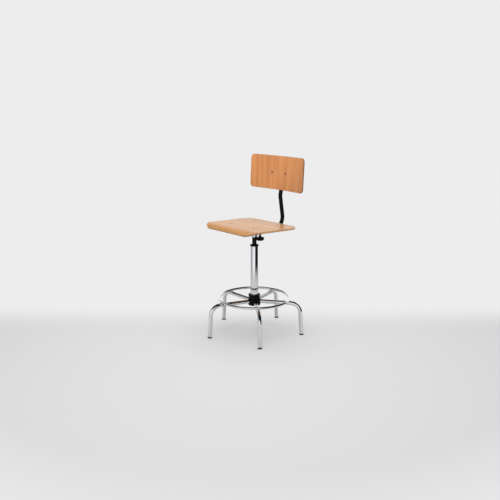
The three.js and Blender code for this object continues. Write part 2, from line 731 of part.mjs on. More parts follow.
// Flat seat with a rolled front: the side profile swept across, then trimmed to the plan outline.
function seatPan() {
  const rollStart = SEAT_FRONT + SEAT_RUN;
  const side = new THREE.Shape();
  side.moveTo(SEAT_REAR, 0);
  side.lineTo(rollStart, 0);
  side.absarc(rollStart, -SEAT_ROLL_R, SEAT_ROLL_R, Math.PI / 2, Math.PI / 2 + SEAT_ROLL);
  side.absarc(rollStart, -SEAT_ROLL_R, SEAT_ROLL_R - SEAT_THICK, Math.PI / 2 + SEAT_ROLL, Math.PI / 2, true);
  side.lineTo(SEAT_REAR, -SEAT_THICK);
  // The profile's own axes are y then z; the turn below stands it up across the seat.
  const slab = raised(side, -SEAT_WIDTH / 2, SEAT_WIDTH / 2, SEAT_ROLL_STEPS);
  slab.applyMatrix4(new THREE.Matrix4().makeBasis(
    new THREE.Vector3(0, 1, 0),
    new THREE.Vector3(0, 0, 1),
    new THREE.Vector3(1, 0, 0),
  ));
  const half = SEAT_WIDTH / 2;
  const outline = roundedRectangle(-half, half, SEAT_FRONT, SEAT_REAR, SEAT_CORNER_R);
  const cutter = raised(outline, -2 * SEAT_ROLL_R, SEAT_THICK, PANEL_CORNER_STEPS);
  const holes = seatRivetSpots().flatMap(([x, y]) => rivetHole(-SEAT_THICK).map((h) => h.translate(x, y, 0)));
  return cut(overlapOf(slab, cutter), ...holes);
}

function seatRivetSpots() {
  const spots = [];
  for (const x of [-SEAT_RIVETS_X / 2, SEAT_RIVETS_X / 2]) {
    for (const y of [-SEAT_RIVETS_Y / 2, SEAT_RIVETS_Y / 2]) spots.push([x, y]);
  }
  return spots;
}

// The shank's hole and the head's recess, in wood whose face is z = 0.
function rivetHole(bottom) {
  const shank = disc(boreRadius(RIVET_SHANK_R, RIVET_SIDES), bottom - CUT_OVER, CUT_OVER, RIVET_SIDES);
  const recess = disc(boreRadius(RIVET_HEAD_R), -RIVET_SINK - RIVET_HEAD - GAP, CUT_OVER);
  return [shank, recess];
}

// A tubular rivet: its cupped head lies in the wood's face at z = 0, its tail is rolled over at `under`.
function rivet(under) {
  const top = -RIVET_SINK;
  return turned([
    [RIVET_BORE_R, under - RIVET_TAIL],
    [RIVET_TAIL_R, under - RIVET_TAIL],
    [RIVET_TAIL_R, under],
    [RIVET_SHANK_R, under],
    [RIVET_SHANK_R, top - RIVET_HEAD],
    [RIVET_HEAD_R, top - RIVET_HEAD],
    [RIVET_HEAD_R, top - RIVET_RIM],
    [RIVET_HEAD_R - RIVET_CROWN, top],
    [RIVET_BORE_R + RIVET_CUP_RIM, top - RIVET_CUP_SLOPE],
    [RIVET_BORE_R, top - RIVET_CUP],
  ], RIVET_SIDES);
}

function mountingPlate() {
  const halfX = SEAT_RIVETS_X / 2 + PLATE_MARGIN;
  const halfY = SEAT_RIVETS_Y / 2 + PLATE_MARGIN;
  const spine = PLATE_SPINE / 2;
  const armInner = halfY - PLATE_ARM;
  const outline = new THREE.Shape();
  const corner = (x, y, from) => outline.absarc(x, y, PLATE_MARGIN, from, from + Math.PI / 2);
  outline.moveTo(-halfX + PLATE_MARGIN, -halfY);
  corner(halfX - PLATE_MARGIN, -halfY + PLATE_MARGIN, -Math.PI / 2);
  outline.lineTo(halfX, -armInner);
  outline.lineTo(spine, -armInner + PLATE_ARM / 2);
  outline.lineTo(spine, armInner - PLATE_ARM / 2);
  outline.lineTo(halfX, armInner);
  corner(halfX - PLATE_MARGIN, halfY - PLATE_MARGIN, 0);
  corner(-halfX + PLATE_MARGIN, halfY - PLATE_MARGIN, Math.PI / 2);
  outline.lineTo(-halfX, armInner);
  outline.lineTo(-spine, armInner - PLATE_ARM / 2);
  outline.lineTo(-spine, -armInner + PLATE_ARM / 2);
  outline.lineTo(-halfX, -armInner);
  corner(-halfX + PLATE_MARGIN, -halfY + PLATE_MARGIN, Math.PI);
  const plate = raised(outline, PLATE_UNDER, PLATE_TOP, SHEET_STEPS);
  const holeR = boreRadius(RIVET_SHANK_R, RIVET_SIDES);
  const holes = seatRivetSpots().map(([x, y]) =>
    disc(holeR, PLATE_UNDER - CUT_OVER, PLATE_TOP + CUT_OVER, RIVET_SIDES).translate(x, y, 0));
  return cut(plate, ...holes);
}

// A side cheek: from the plate down beside the socket and the bar's sleeve. side is -1 or 1.
function cheek(side) {
  const foot = SLEEVE_UNDER + CHEEK_OVERLAP;
  const step = LEVER_Z - CHEEK_STEP_DROP;
  const outline = new THREE.Shape();
  outline.moveTo(CHEEK_FRONT, step);
  outline.lineTo(-SOCKET_R, foot + CHEEK_TOE);
  outline.lineTo(-SOCKET_R + CHEEK_CUT, foot);
  outline.lineTo(SLEEVE_REAR - CHEEK_CUT, foot);
  outline.lineTo(SLEEVE_REAR, foot + CHEEK_CUT);
  outline.lineTo(SLEEVE_REAR, underPlate(SLEEVE_REAR));
  outline.lineTo(CHEEK_FRONT, underPlate(CHEEK_FRONT));
  const inner = side > 0 ? CHEEK_X : -CHEEK_X - CHEEK;
  const plate = raised(outline, inner, inner + CHEEK);
  plate.applyMatrix4(new THREE.Matrix4().makeBasis(
    new THREE.Vector3(0, 1, 0),
    new THREE.Vector3(0, 0, 1),
    new THREE.Vector3(1, 0, 0),
  ));
  if (side > 0) return plate;
  const wayHalf = LEVER_R + LEVER_WAY;
  const wayBottom = LEVER_Z - LEVER_R - LEVER_WAY_UNDER;
  const leverWay = block(inner - CUT_OVER, inner + CHEEK + CUT_OVER, -wayHalf, wayHalf,
    wayBottom, LEVER_Z + wayHalf);
  return cut(plate, leverWay);
}

function barSleeve() {
  const inX = BAR_WIDTH / 2 + BAR_SLACK;
  const inZ = BAR_THICK / 2 + BAR_SLACK;
  const outline = roundedRectangle(-SLEEVE_HALF_X, SLEEVE_HALF_X, -SLEEVE_HALF_Z, SLEEVE_HALF_Z, SLEEVE_WALL);
  outline.holes.push(roundedRectangle(-inX, inX, -inZ, inZ, SLEEVE_BORE_CORNER));
  const sleeve = raised(outline, SLEEVE_FRONT, SLEEVE_REAR, SLEEVE_STEPS);
  sleeve.applyMatrix4(new THREE.Matrix4().makeBasis(
    new THREE.Vector3(-1, 0, 0),
    new THREE.Vector3(0, 0, 1),
    new THREE.Vector3(0, 1, 0),
  ));
  sleeve.translate(0, 0, BAR_Z);
  const padHole = disc(boreRadius(PAD_R), SLEEVE_UNDER - CUT_OVER, BAR_Z).translate(0, KNOB_Y, 0);
  return cut(sleeve, padHole);
}

// The nut under the sleeve, hollowed at the top so that the pad has room to back off.
function clampNut() {
  const bottom = CLAMP_NUT_TOP - CLAMP_NUT;
  const screwBore = boreRadius(CLAMP_SCREW_R);
  const padBore = boreRadius(PAD_R);
  return turned([
    [screwBore, bottom],
    [CLAMP_NUT_R, bottom],
    [CLAMP_NUT_R, CLAMP_NUT_TOP],
    [padBore, CLAMP_NUT_TOP],
    [padBore, CLAMP_NUT_TOP - PAD_ROOM],
    [screwBore, CLAMP_NUT_TOP - PAD_ROOM],
  ]).translate(0, KNOB_Y, 0);
}

// An inverted U that hangs from the plate; the lever's pin crosses its two lugs.
function leverBracket() {
  const top = underPlate(LUG_IN + LUG);
  const web = top - LUG;
  const x0 = LEVER_PIVOT_X - LEVER_EYE_R - LUG_MARGIN;
  const x1 = LEVER_PIVOT_X + LEVER_EYE_R + LUG_MARGIN;
  const bottom = LEVER_Z - LEVER_EYE_R;
  const solid = block(x0, x1, -LUG_IN - LUG, LUG_IN + LUG, bottom, top);
  const inside = block(x0 - CUT_OVER, x1 + CUT_OVER, -LUG_IN, LUG_IN, bottom - CUT_OVER, web);
  const across = 2 * (LUG_IN + LUG + CUT_OVER);
  const pinHole = crossPin('y', boreRadius(LEVER_PIN_R), across, [LEVER_PIVOT_X, 0, LEVER_Z]);
  return cut(solid, inside, pinHole);
}

function leverPin() {
  const length = 2 * (LUG_IN + LUG + PIN_PROUD);
  return crossPin('y', LEVER_PIN_R, length, [LEVER_PIVOT_X, 0, LEVER_Z]);
}

function seatUnit() {
  const tilted = group(
    node('seat_pan', seatPan(), 'seatBeech'),
    node('mounting_plate', mountingPlate(), 'blackSteel'),
  );
  seatRivetSpots().forEach(([x, y], i) => {
    tilted.add(node(`seat_rivet_${i + 1}`, rivet(PLATE_UNDER - GAP).translate(x, y, 0), 'zinc'));
  });
  tilted.position.z = SEAT_Z;
  tilted.rotation.x = -SEAT_TILT;
  return group(
    tilted,
    node('gas_cylinder', gasCylinder(), 'blackSteel'),
    node('taper_socket', taperSocket(), 'zinc'),
    node('cheek_left', cheek(1), 'blackSteel'),
    node('cheek_right', cheek(-1), 'blackSteel'),
    node('bar_sleeve', barSleeve(), 'blackSteel'),
    node('clamp_nut', clampNut(), 'blackSteel'),
    node('lever_bracket', leverBracket(), 'blackSteel'),
    node('lever_pin', leverPin(), 'zinc'),
  );
}

// ---------------------------------------------------------------------------
// Height lever and valve pin
// ---------------------------------------------------------------------------
function leverRod() {
  const corners = [
    { point: new THREE.Vector3(VALVE_PIN_R - EDGE, 0, LEVER_Z) },
    { point: new THREE.Vector3(LEVER_CRANK_X, 0, LEVER_Z), r: LEVER_CRANK_R },
    { point: new THREE.Vector3(LEVER_CRANK_X - LEVER_CRANK_RUN, 0, LEVER_LOW_Z), r: LEVER_CRANK_R },
    { point: new THREE.Vector3(LEVER_END_X + GRIP_CAP, 0, LEVER_LOW_Z) },
  ];
  const section = new THREE.Shape().absarc(0, 0, LEVER_R, 0, 2 * Math.PI);
  const rod = swept(section, filletedRoute(corners, LEVER_BEND_STEP), LEVER_SIDES);
  const eye = crossPin('y', LEVER_EYE_R, LEVER_EYE, [LEVER_PIVOT_X, 0, LEVER_Z]);
  const bore = crossPin('y', boreRadius(LEVER_PIN_R), LEVER_EYE + 2 * CUT_OVER, [LEVER_PIVOT_X, 0, LEVER_Z]);
  return cut(join(rod, eye), bore);
}

function leverGrip() {
  const length = GRIP_LENGTH;
  const bore = boreRadius(LEVER_R);
  const boreEnd = GRIP_CAP - GAP;
  const shell = turned([
    [0, 0],
    [GRIP_R - GRIP_NOSE, 0],
    [GRIP_R, GRIP_NOSE],
    [GRIP_R + GRIP_SWELL, length * GRIP_SWELL_AT],
    [GRIP_R - GRIP_WAIST, length - GRIP_WAIST_BACK],
    [GRIP_R - GRIP_NOSE, length],
    [bore, length],
    [bore, boreEnd],
    [0, boreEnd],
  ]);
  return shell.rotateY(Math.PI / 2).translate(LEVER_END_X, 0, LEVER_LOW_Z);
}

function heightLever() {
  return group(
    node('lever_rod', leverRod(), 'blackSteel'),
    node('lever_grip', leverGrip(), 'blackPlastic'),
  );
}

function valvePin() {
  const top = LEVER_Z - LEVER_R - GAP;
  return node('valve_pin', disc(VALVE_PIN_R, CYLINDER_TOP - CYLINDER_CAP + VALVE_PIN_RISE, top), 'zinc');
}

// ---------------------------------------------------------------------------
// Clamp: pad, screw and knob
// ---------------------------------------------------------------------------
function clampPad() {
  return node('clamp_pad', disc(PAD_R, PAD_BOTTOM, PAD_TOP).translate(0, KNOB_Y, 0), 'brass');
}

function knobBody() {
  const bore = boreRadius(CLAMP_SCREW_R);
  const turnedBody = turned([
    [0, KNOB_BOTTOM],
    [KNOB_R - KNOB_FOOT, KNOB_BOTTOM],
    [KNOB_R - KNOB_BELLY, KNOB_BOTTOM + KNOB_BELLY_RISE],
    [KNOB_R, KNOB_BOTTOM + KNOB_RIM_RISE],
    [KNOB_R, KNOB_TOP - KNOB_SHOULDER],
    [KNOB_R - KNOB_SHOULDER, KNOB_TOP],
    [KNOB_NECK_R + KNOB_NECK_FLARE, KNOB_TOP],
    [KNOB_NECK_R, KNOB_TOP + KNOB_NECK_FLARE_RISE],
    [KNOB_NECK_R, NECK_TOP],
    [bore, NECK_TOP],
    [bore, SCREW_BOTTOM - GAP],
    [0, SCREW_BOTTOM - GAP],
  ]);
  const flutes = [];
  for (let i = 0; i < KNOB_LOBES; i += 1) {
    const angle = (2 * Math.PI * (i + 0.5)) / KNOB_LOBES;
    const out = KNOB_R + KNOB_FLUTE_R - KNOB_FLUTE_DEPTH;
    flutes.push(disc(KNOB_FLUTE_R, KNOB_BOTTOM - CUT_OVER, KNOB_TOP + CUT_OVER)
      .translate(out * Math.cos(angle), out * Math.sin(angle), 0));
  }
  return cut(turnedBody, ...flutes).translate(0, KNOB_Y, 0);
}

function clampKnob() {
  return group(
    node('clamp_knob', knobBody(), 'blackPlastic'),
    node('clamp_screw', disc(CLAMP_SCREW_R, SCREW_BOTTOM, SCREW_TOP).translate(0, KNOB_Y, 0), 'zinc'),
  );
}

// ---------------------------------------------------------------------------
// Back bar
// ---------------------------------------------------------------------------
function barCorners() {
  const at = (y, z, r) => ({ point: new THREE.Vector3(0, y, z), r });
  return [
    at(BAR_FRONT, BAR_Z),
    at(BAR_HEEL_Y, BAR_Z, BAR_HEEL_R),
    at(BAR_WAIST_Y, BACK_Z - BAR_WAIST_DROP, BAR_WAIST_R),
    at(PIVOT_Y, BACK_Z - BAR_NECK_DROP, BAR_NECK_R),
    at(PIVOT_Y, BAR_TOP),
  ];
}

function barTube() {
  const section = ovalLoop(new THREE.Shape(), BAR_WIDTH, BAR_THICK);
  section.holes.push(ovalLoop(new THREE.Path(), BAR_WIDTH - 2 * BAR_WALL, BAR_THICK - 2 * BAR_WALL));
  const tube = swept(section, filletedRoute(barCorners(), BEND_STEP), OVAL_STEPS);
  const bushHole = crossPin('x', boreRadius(PIVOT_BUSH_R), BAR_WIDTH + 2 * CUT_OVER, [0, PIVOT_Y, PIVOT_Z]);
  return cut(tube, bushHole);
}

// A cap over the bar's upper end, with a stem inside the tube.
function barCap() {
  const slack = BAR_WALL + GAP + CAP_SLACK;
  const seat = BAR_TOP + GAP;
  const head = raised(ovalLoop(new THREE.Shape(), BAR_WIDTH, BAR_THICK), seat, seat + BAR_PLUG, CAP_STEPS);
  const stemShape = ovalLoop(new THREE.Shape(), BAR_WIDTH - 2 * slack, BAR_THICK - 2 * slack);
  const stem = raised(stemShape, BAR_TOP - BAR_PLUG_STEM, seat + JOIN_OVER, CAP_STEPS);
  return join(head, stem).rotateZ(Math.PI / 2).translate(0, PIVOT_Y, 0);
}

function pivotBush() {
  const length = BAR_WIDTH + 2 * PIVOT_BUSH_PROUD;
  const sleeve = turned([
    [boreRadius(PIVOT_R), -length / 2],
    [PIVOT_BUSH_R, -length / 2],
    [PIVOT_BUSH_R, length / 2],
    [boreRadius(PIVOT_R), length / 2],
  ]);
  return sleeve.rotateY(Math.PI / 2).translate(0, PIVOT_Y, PIVOT_Z);
}

function backBar() {
  return group(
    node('back_bar', barTube(), 'blackSteel'),
    node('bar_cap', barCap(), 'blackPlastic'),
    node('pivot_bush', pivotBush(), 'bushPlastic'),
  );
}

// ---------------------------------------------------------------------------
// Backrest: built with its front face on y = 0 at the middle, then placed and leaned back
// ---------------------------------------------------------------------------

// A band of the backrest's curve between two depths behind the front face, as wide as asked.
function curvedBand(loop, width, front, rear) {
  const rFront = BACK_CURVE_R + front;
  const rRear = BACK_CURVE_R + rear;
  const a = Math.asin(width / 2 / rFront);
  const b = Math.asin(width / 2 / rRear);
  loop.absarc(0, -BACK_CURVE_R, rRear, Math.PI / 2 - b, Math.PI / 2 + b);
  loop.absarc(0, -BACK_CURVE_R, rFront, Math.PI / 2 + a, Math.PI / 2 - a, true);
  return loop;
}

function backPanel() {
  const half = BACK_HEIGHT / 2;
  const band = curvedBand(new THREE.Shape(), BACK_WIDTH, 0, BACK_THICK);
  const slab = raised(band, -half, half, BACK_CURVE_STEPS);
  const outline = roundedRectangle(-BACK_WIDTH / 2, BACK_WIDTH / 2, -half, half, BACK_CORNER_R);
  const cutter = raised(outline, -BACK_WIDTH / 2, BACK_WIDTH / 2, PANEL_CORNER_STEPS).rotateX(Math.PI / 2);
  const holes = backRivetPlaces().flatMap((place) => rivetHole(-BACK_THICK).map((hole) => place(hole)));
  return cut(overlapOf(slab, cutter), ...holes);
}

// Each rivet is square to the curved face: a function that puts a z-up shape there, head to the front.
function backRivetPlaces() {
  return [-1, 1].map((side) => {
    const angle = Math.asin(BACK_RIVETS_X / 2 / BACK_CURVE_R) * side;
    return (shape) => shape
      .rotateX(Math.PI / 2)
      .translate(0, BACK_CURVE_R, 0)
      .rotateZ(-angle)
      .translate(0, -BACK_CURVE_R, 0);
  });
}

// A curved strap behind the panel with two ears that straddle the bar.
function bracket() {
  const front = BACK_THICK + GAP;
  const half = BRACKET_HEIGHT / 2;
  const band = curvedBand(new THREE.Shape(), BRACKET_WIDTH, front, front + BRACKET);
  const strap = raised(band, -half, half, SHEET_STEPS);
  const rootHalf = half * EAR_ROOT_SHARE;
  const rootEnd = front + BRACKET + EAR_ROOT;
  const ear = (side) => {
    const outline = new THREE.Shape();
    outline.moveTo(front + JOIN_OVER, -rootHalf);
    outline.lineTo(rootEnd, -rootHalf);
    outline.lineTo(PIVOT_DEPTH + EAR_REACH, -EAR_REACH);
    outline.lineTo(PIVOT_DEPTH + EAR_REACH, EAR_REACH);
    outline.lineTo(rootEnd, rootHalf);
    outline.lineTo(front + JOIN_OVER, rootHalf);
    const inner = side > 0 ? EAR_IN : -EAR_OUT;
    return raised(outline, inner, inner + BRACKET).applyMatrix4(new THREE.Matrix4().makeBasis(
      new THREE.Vector3(0, 1, 0),
      new THREE.Vector3(0, 0, 1),
      new THREE.Vector3(1, 0, 0),
    ));
  };
  const pivotHole = crossPin('x', boreRadius(PIVOT_R), BRACKET_WIDTH, [0, PIVOT_DEPTH, 0]);
  const shank = () => disc(boreRadius(RIVET_SHANK_R), -RIVET_HOLE_DEPTH, CUT_OVER);
  const shanks = backRivetPlaces().map((place) => place(shank()));
  return cut(join(strap, ear(1), ear(-1)), pivotHole, ...shanks);
}

function pivotBolt() {
  const seat = EAR_OUT + GAP;
  const end = -seat - NUT - BOLT_PROUD;
  return turned([
    [0, end],
    [PIVOT_R, end],
    [PIVOT_R, seat],
    [BOLT_HEAD_R, seat],
    [BOLT_HEAD_R, seat + BOLT_HEAD - EDGE],
    [BOLT_HEAD_R - EDGE, seat + BOLT_HEAD],
    [0, seat + BOLT_HEAD],
  ]).rotateY(Math.PI / 2).translate(0, PIVOT_DEPTH, 0);
}

function pivotNut() {
  const blank = washer(boreRadius(PIVOT_R), BOLT_HEAD_R * 2, -NUT, 0);
  const hexagon = disc(BOLT_HEAD_R / Math.cos(Math.PI / HEXAGON), -NUT - CUT_OVER, CUT_OVER, HEXAGON);
  return overlapOf(blank, hexagon)
    .translate(0, 0, -EAR_OUT - GAP)
    .rotateY(Math.PI / 2)
    .translate(0, PIVOT_DEPTH, 0);
}

function backrest() {
  const parts = group(
    node('backrest_panel', backPanel(), 'backBeech'),
    node('backrest_bracket', bracket(), 'blackSteel'),
    node('pivot_bolt', pivotBolt(), 'zinc'),
    node('pivot_nut', pivotNut(), 'zinc'),
  );
  const tail = -(BACK_THICK + GAP + BRACKET + GAP);
  backRivetPlaces().forEach((place, i) => {
    parts.add(node(`back_rivet_${i + 1}`, place(rivet(tail)), 'zinc'));
  });
  parts.position.set(0, BACK_Y, BACK_Z);
  parts.rotation.x = -BACK_TILT;
  return parts;
}

// ---------------------------------------------------------------------------
// Chair
// ---------------------------------------------------------------------------
const chair = group(
  base(),
  spindle(),
  seatUnit(),
  heightLever(),
  valvePin(),
  clampPad(),
  clampKnob(),
  backBar(),
  backrest(),
);
chair.name = 'drafting_chair';
chair.position.x = AXIS_X;

export default chair;
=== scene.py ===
"""Dresses a tall drafting chair: a moulded beech seat and backrest on a chromed five-legged base.

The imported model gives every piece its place. Each class below makes one sub-assembly in metres, in the frame
of that model: the column stands up along Z and the sitter faces -Y.
"""

import json
import logging
import math
from collections.abc import Callable, Iterable, Sequence
from dataclasses import dataclass, field
from enum import Enum
from typing import NamedTuple

import bmesh
import bpy
import numpy as np
from mathutils import Matrix, Vector
from mathutils.geometry import delaunay_2d_cdt

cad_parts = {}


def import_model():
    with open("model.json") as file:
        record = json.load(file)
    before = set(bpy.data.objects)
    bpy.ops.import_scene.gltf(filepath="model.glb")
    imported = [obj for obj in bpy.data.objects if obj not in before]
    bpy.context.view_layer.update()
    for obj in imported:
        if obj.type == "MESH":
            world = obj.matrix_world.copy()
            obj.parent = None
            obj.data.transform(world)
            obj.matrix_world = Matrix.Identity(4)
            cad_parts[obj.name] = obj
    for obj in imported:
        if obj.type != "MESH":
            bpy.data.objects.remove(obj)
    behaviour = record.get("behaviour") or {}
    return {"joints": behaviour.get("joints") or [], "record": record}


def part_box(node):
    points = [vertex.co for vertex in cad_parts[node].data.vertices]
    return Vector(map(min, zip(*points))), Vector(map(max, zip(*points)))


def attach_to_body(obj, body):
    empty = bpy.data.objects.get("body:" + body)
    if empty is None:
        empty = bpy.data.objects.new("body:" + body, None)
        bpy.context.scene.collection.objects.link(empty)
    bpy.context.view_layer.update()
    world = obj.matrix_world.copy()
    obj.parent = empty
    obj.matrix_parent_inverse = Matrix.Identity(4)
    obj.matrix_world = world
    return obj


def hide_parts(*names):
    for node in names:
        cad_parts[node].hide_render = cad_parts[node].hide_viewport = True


log = logging.getLogger("drafting_chair")

MM = 0.001
TINY = 1e-7
PLAY = 0.3 * MM
UP = Vector((0.0, 0.0, 1.0))
ACROSS = Vector((1.0, 0.0, 0.0))
BACKWARD = Vector((0.0, 1.0, 0.0))

Placer = Callable[[float, float, float], Vector]
Outline = list[Vector]
Corners = Sequence[tuple[float, ...]]


class Body(Enum):
    """The bodies of the frame that pieces ride on."""

    BASE = "base"
    SPINDLE = "spindle"
    SEAT = "seat_unit"
    LEVER = "height_lever"
    VALVE = "valve_pin"
    PAD = "clamp_pad"
    KNOB = "clamp_knob"
    BAR = "back_bar"
    BACKREST = "backrest"


class Slot(Enum):
    """The record's material slots."""

    SEAT_BEECH = "seat_beech"
    BACK_BEECH = "back_beech"
    CHROME = "chrome"
    BLACK_STEEL = "black_steel"
    BLACK_PLASTIC = "black_plastic"
    NYLON = "bush_plastic"
    ZINC = "zinc"
    BRASS = "brass"


class Grain(Enum):
    """Which way the face veneer runs on a board: along its first or its second coordinate."""

    CROSSWISE = 0
    LENGTHWISE = 1


# ---- Places taken from the frame ----
@dataclass(frozen=True)
class Extent:
    """The box of one node of the frame."""

    low: Vector
    high: Vector

    @classmethod
    def of(cls, node: str) -> "Extent":
        """The extent of the node of that name."""
        low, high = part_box(node)
        return cls(low, high)

    @property
    def centre(self) -> Vector:
        """The middle of the box."""
        return (self.low + self.high) / 2

    @property
    def size(self) -> Vector:
        """The box's three sides."""
        return self.high - self.low


def mount_of(record: dict, name: str) -> dict:
    """The record's mount of that name."""
    return next(m for m in record["mounts"] if m["name"] == name)


def joint_of(joints: list[dict], name: str) -> dict:
    """The joint of that name."""
    return next(j for j in joints if j["name"] == name)


# ---- Outlines and profiles ----
class Corner(NamedTuple):
    """A corner of an outline or profile, rounded by an arc when it has a radius."""

    x: float
    y: float
    radius: float = 0.0


def rounded(given: Corners, closed: bool = True, step: float = 15.0) -> Outline:
    """Draws an outline through corners, with an arc at each rounded one.

    Args:
        given: The corners in order, each as x, y and, where it is rounded, its radius.
        closed: Whether the last corner joins the first.
        step: The most degrees that one chord of an arc turns.

    Returns:
        The points of the outline.
    """
    corners = [Corner(*numbers) for numbers in given]
    points: Outline = []
    count = len(corners)
    for i, corner in enumerate(corners):
        here = Vector((corner.x, corner.y))
        if corner.radius <= 0 or (not closed and i in (0, count - 1)):
            points.append(here)
            continue
        before = corners[i - 1]
        after = corners[(i + 1) % count]
        inward = (Vector((before.x, before.y)) - here).normalized()
        outward = (Vector((after.x, after.y)) - here).normalized()
        turn = math.pi - inward.angle(outward)
        if turn < TINY:
            points.append(here)
            continue
        setback = corner.radius * math.tan(turn / 2)
        bisector = (inward + outward).normalized()
        centre = here + bisector * (corner.radius / math.cos(turn / 2))
        start = here + inward * setback - centre
        side = 1.0 if inward.x * outward.y - inward.y * outward.x < 0 else -1.0
        chords = max(2, math.ceil(math.degrees(turn) / step))
        for k in range(chords + 1):
            points.append(centre + turned_by(start, side * turn * k / chords))
    return points


def turned_by(point: Vector, angle: float) -> Vector:
    """A flat point turned about the origin."""
    c, s = math.cos(angle), math.sin(angle)
    return Vector((point.x * c - point.y * s, point.x * s + point.y * c))


def rectangle(half_x: float, half_y: float, radius: float, cx: float = 0.0, cy: float = 0.0) -> Corners:
    """The four rounded corners of a rectangle about a centre, anticlockwise."""
    signs = ((-1, -1), (1, -1), (1, 1), (-1, 1))
    return [(cx + sx * half_x, cy + sy * half_y, radius) for sx, sy in signs]


def circle(radius: float, count: int, cx: float = 0.0, cy: float = 0.0) -> Outline:
    """A circle's points, anticlockwise."""
    angles = (2 * math.pi * k / count for k in range(count))
    return [Vector((cx + radius * math.cos(a), cy + radius * math.sin(a))) for a in angles]


def stadium(width: float, thick: float, chords: int = 12) -> Outline:
    """A flat-sided oval: thick along x, wide along y, with half-round ends, anticlockwise."""
    radius = thick / 2
    straight = width / 2 - radius
    ends = []
    for centre, start in ((straight, 0.0), (-straight, math.pi)):
        for k in range(chords + 1):
            angle = start + math.pi * k / chords
            ends.append(Vector((radius * math.cos(angle), centre + radius * math.sin(angle))))
    return ends


def divided(outline: Outline, longest: float) -> Outline:
    """A closed outline with its long sides cut up evenly."""
    points: Outline = []
    for here, after in zip(outline, outline[1:] + outline[:1]):
        cuts = max(1, math.ceil((after - here).length / longest))
        points += [here.lerp(after, k / cuts) for k in range(cuts)]
    return points


def inset(outline: Outline, distance: float) -> Outline:
    """An anticlockwise outline moved inwards by a distance, point for point."""
    moved = []
    for before, here, after in zip(outline[-1:] + outline[:-1], outline, outline[1:] + outline[:1]):
        first = (here - before).normalized()
        second = (after - here).normalized()
        normal = Vector((-first.y - second.y, first.x + second.x)).normalized()
        stretch = max(0.3, normal.dot(Vector((-first.y, first.x))))
        moved.append(here + normal * (distance / stretch))
    return moved


def covers(outline: Outline, points: np.ndarray) -> np.ndarray:
    """Which of the points lie inside a closed outline."""
    inside = np.zeros(len(points), bool)
    for a, b in zip(outline, outline[1:] + outline[:1]):
        spans = (a.y > points[:, 1]) != (b.y > points[:, 1])
        if a.y == b.y:
            continue
        crossing = (b.x - a.x) * (points[:, 1] - a.y) / (b.y - a.y) + a.x
        inside ^= spans & (points[:, 0] < crossing)
    return inside


# ---- Solids ----
@dataclass
class Shape:
    """The points and faces of a piece, with the board coordinates of each point where it is wood."""

    points: list[Vector] = field(default_factory=list)
    faces: list[tuple[int, ...]] = field(default_factory=list)
    board: list[Vector] = field(default_factory=list)

    def row(self, points: Iterable[Vector]) -> list[int]:
        """Adds points and returns their numbers."""
        start = len(self.points)
        self.points += [Vector(p) for p in points]
        return list(range(start, len(self.points)))

    def bridge(self, first: Sequence[int], second: Sequence[int], closed: bool = True) -> None:
        """Joins two rows of as many points with faces."""
        count = len(first)
        for i in range(count if closed else count - 1):
            j = (i + 1) % count
            corners = dict.fromkeys((first[i], first[j], second[j], second[i]))
            if len(corners) > 2:
                self.faces.append(tuple(corners))

    def add(self, other: "Shape") -> "Shape":
        """Takes in another shape and returns itself."""
        start = len(self.points)
        self.points += other.points
        self.board += other.board
        self.faces += [tuple(i + start for i in face) for face in other.faces]
        return self

    def moved(self, matrix: Matrix) -> "Shape":
        """A copy moved by a matrix."""
        return Shape([matrix @ p for p in self.points], list(self.faces), list(self.board))


def lathe(profile: Outline, sides: int = 64, trim: Callable[[float], float] | None = None) -> Shape:
    """Turns a profile of (radius, height) points about Z.

    Args:
        profile: The profile, open on the axis or a closed loop.
        sides: How many steps go round.
        trim: The largest radius at an angle, for flats and flutes.

    Returns:
        The turned solid.
    """
    shape = Shape()
    rows = []
    for radius, height in profile:
        if radius < TINY:
            rows.append(shape.row([Vector((0, 0, height))]) * sides)
            continue
        ring = []
        for k in range(sides):
            angle = 2 * math.pi * k / sides
            r = radius if trim is None else blended_least(radius, trim(angle))
            ring.append(Vector((r * math.cos(angle), r * math.sin(angle), height)))
        rows.append(shape.row(ring))
    if profile[0][0] > TINY and profile[-1][0] > TINY:
        rows.append(rows[0])
    for first, second in zip(rows, rows[1:]):
        shape.bridge(first, second)
    return shape


def rod(radius: float, low: float, high: float, sides: int, foot: float = 0.0, head: float = 0.0) -> Shape:
    """A solid cylinder along Z between two heights, with its lower and upper edge rounded."""
    profile = [(0, low), (radius, low, foot), (radius, high, head), (0, high)]
    return lathe(rounded(profile, closed=False), sides)


def collar(bore: float, radius: float, box: Extent, *edges: float) -> Corners:
    """The corners of a collar as high as a box, its edge radii in mm from the lower bore round."""
    low, high = box.low.z, box.high.z
    places = ((bore, low), (radius, low), (radius, high), (bore, high))
    return [(*place, edge * MM) for place, edge in zip(places, edges)]


def blended_least(a: float, b: float, blend: float = 0.8 * MM) -> float:
    """The smaller of two lengths, with a soft change from one to the other."""
    share = max(blend - abs(a - b), 0.0) / blend
    return min(a, b) - share * share * blend / 4


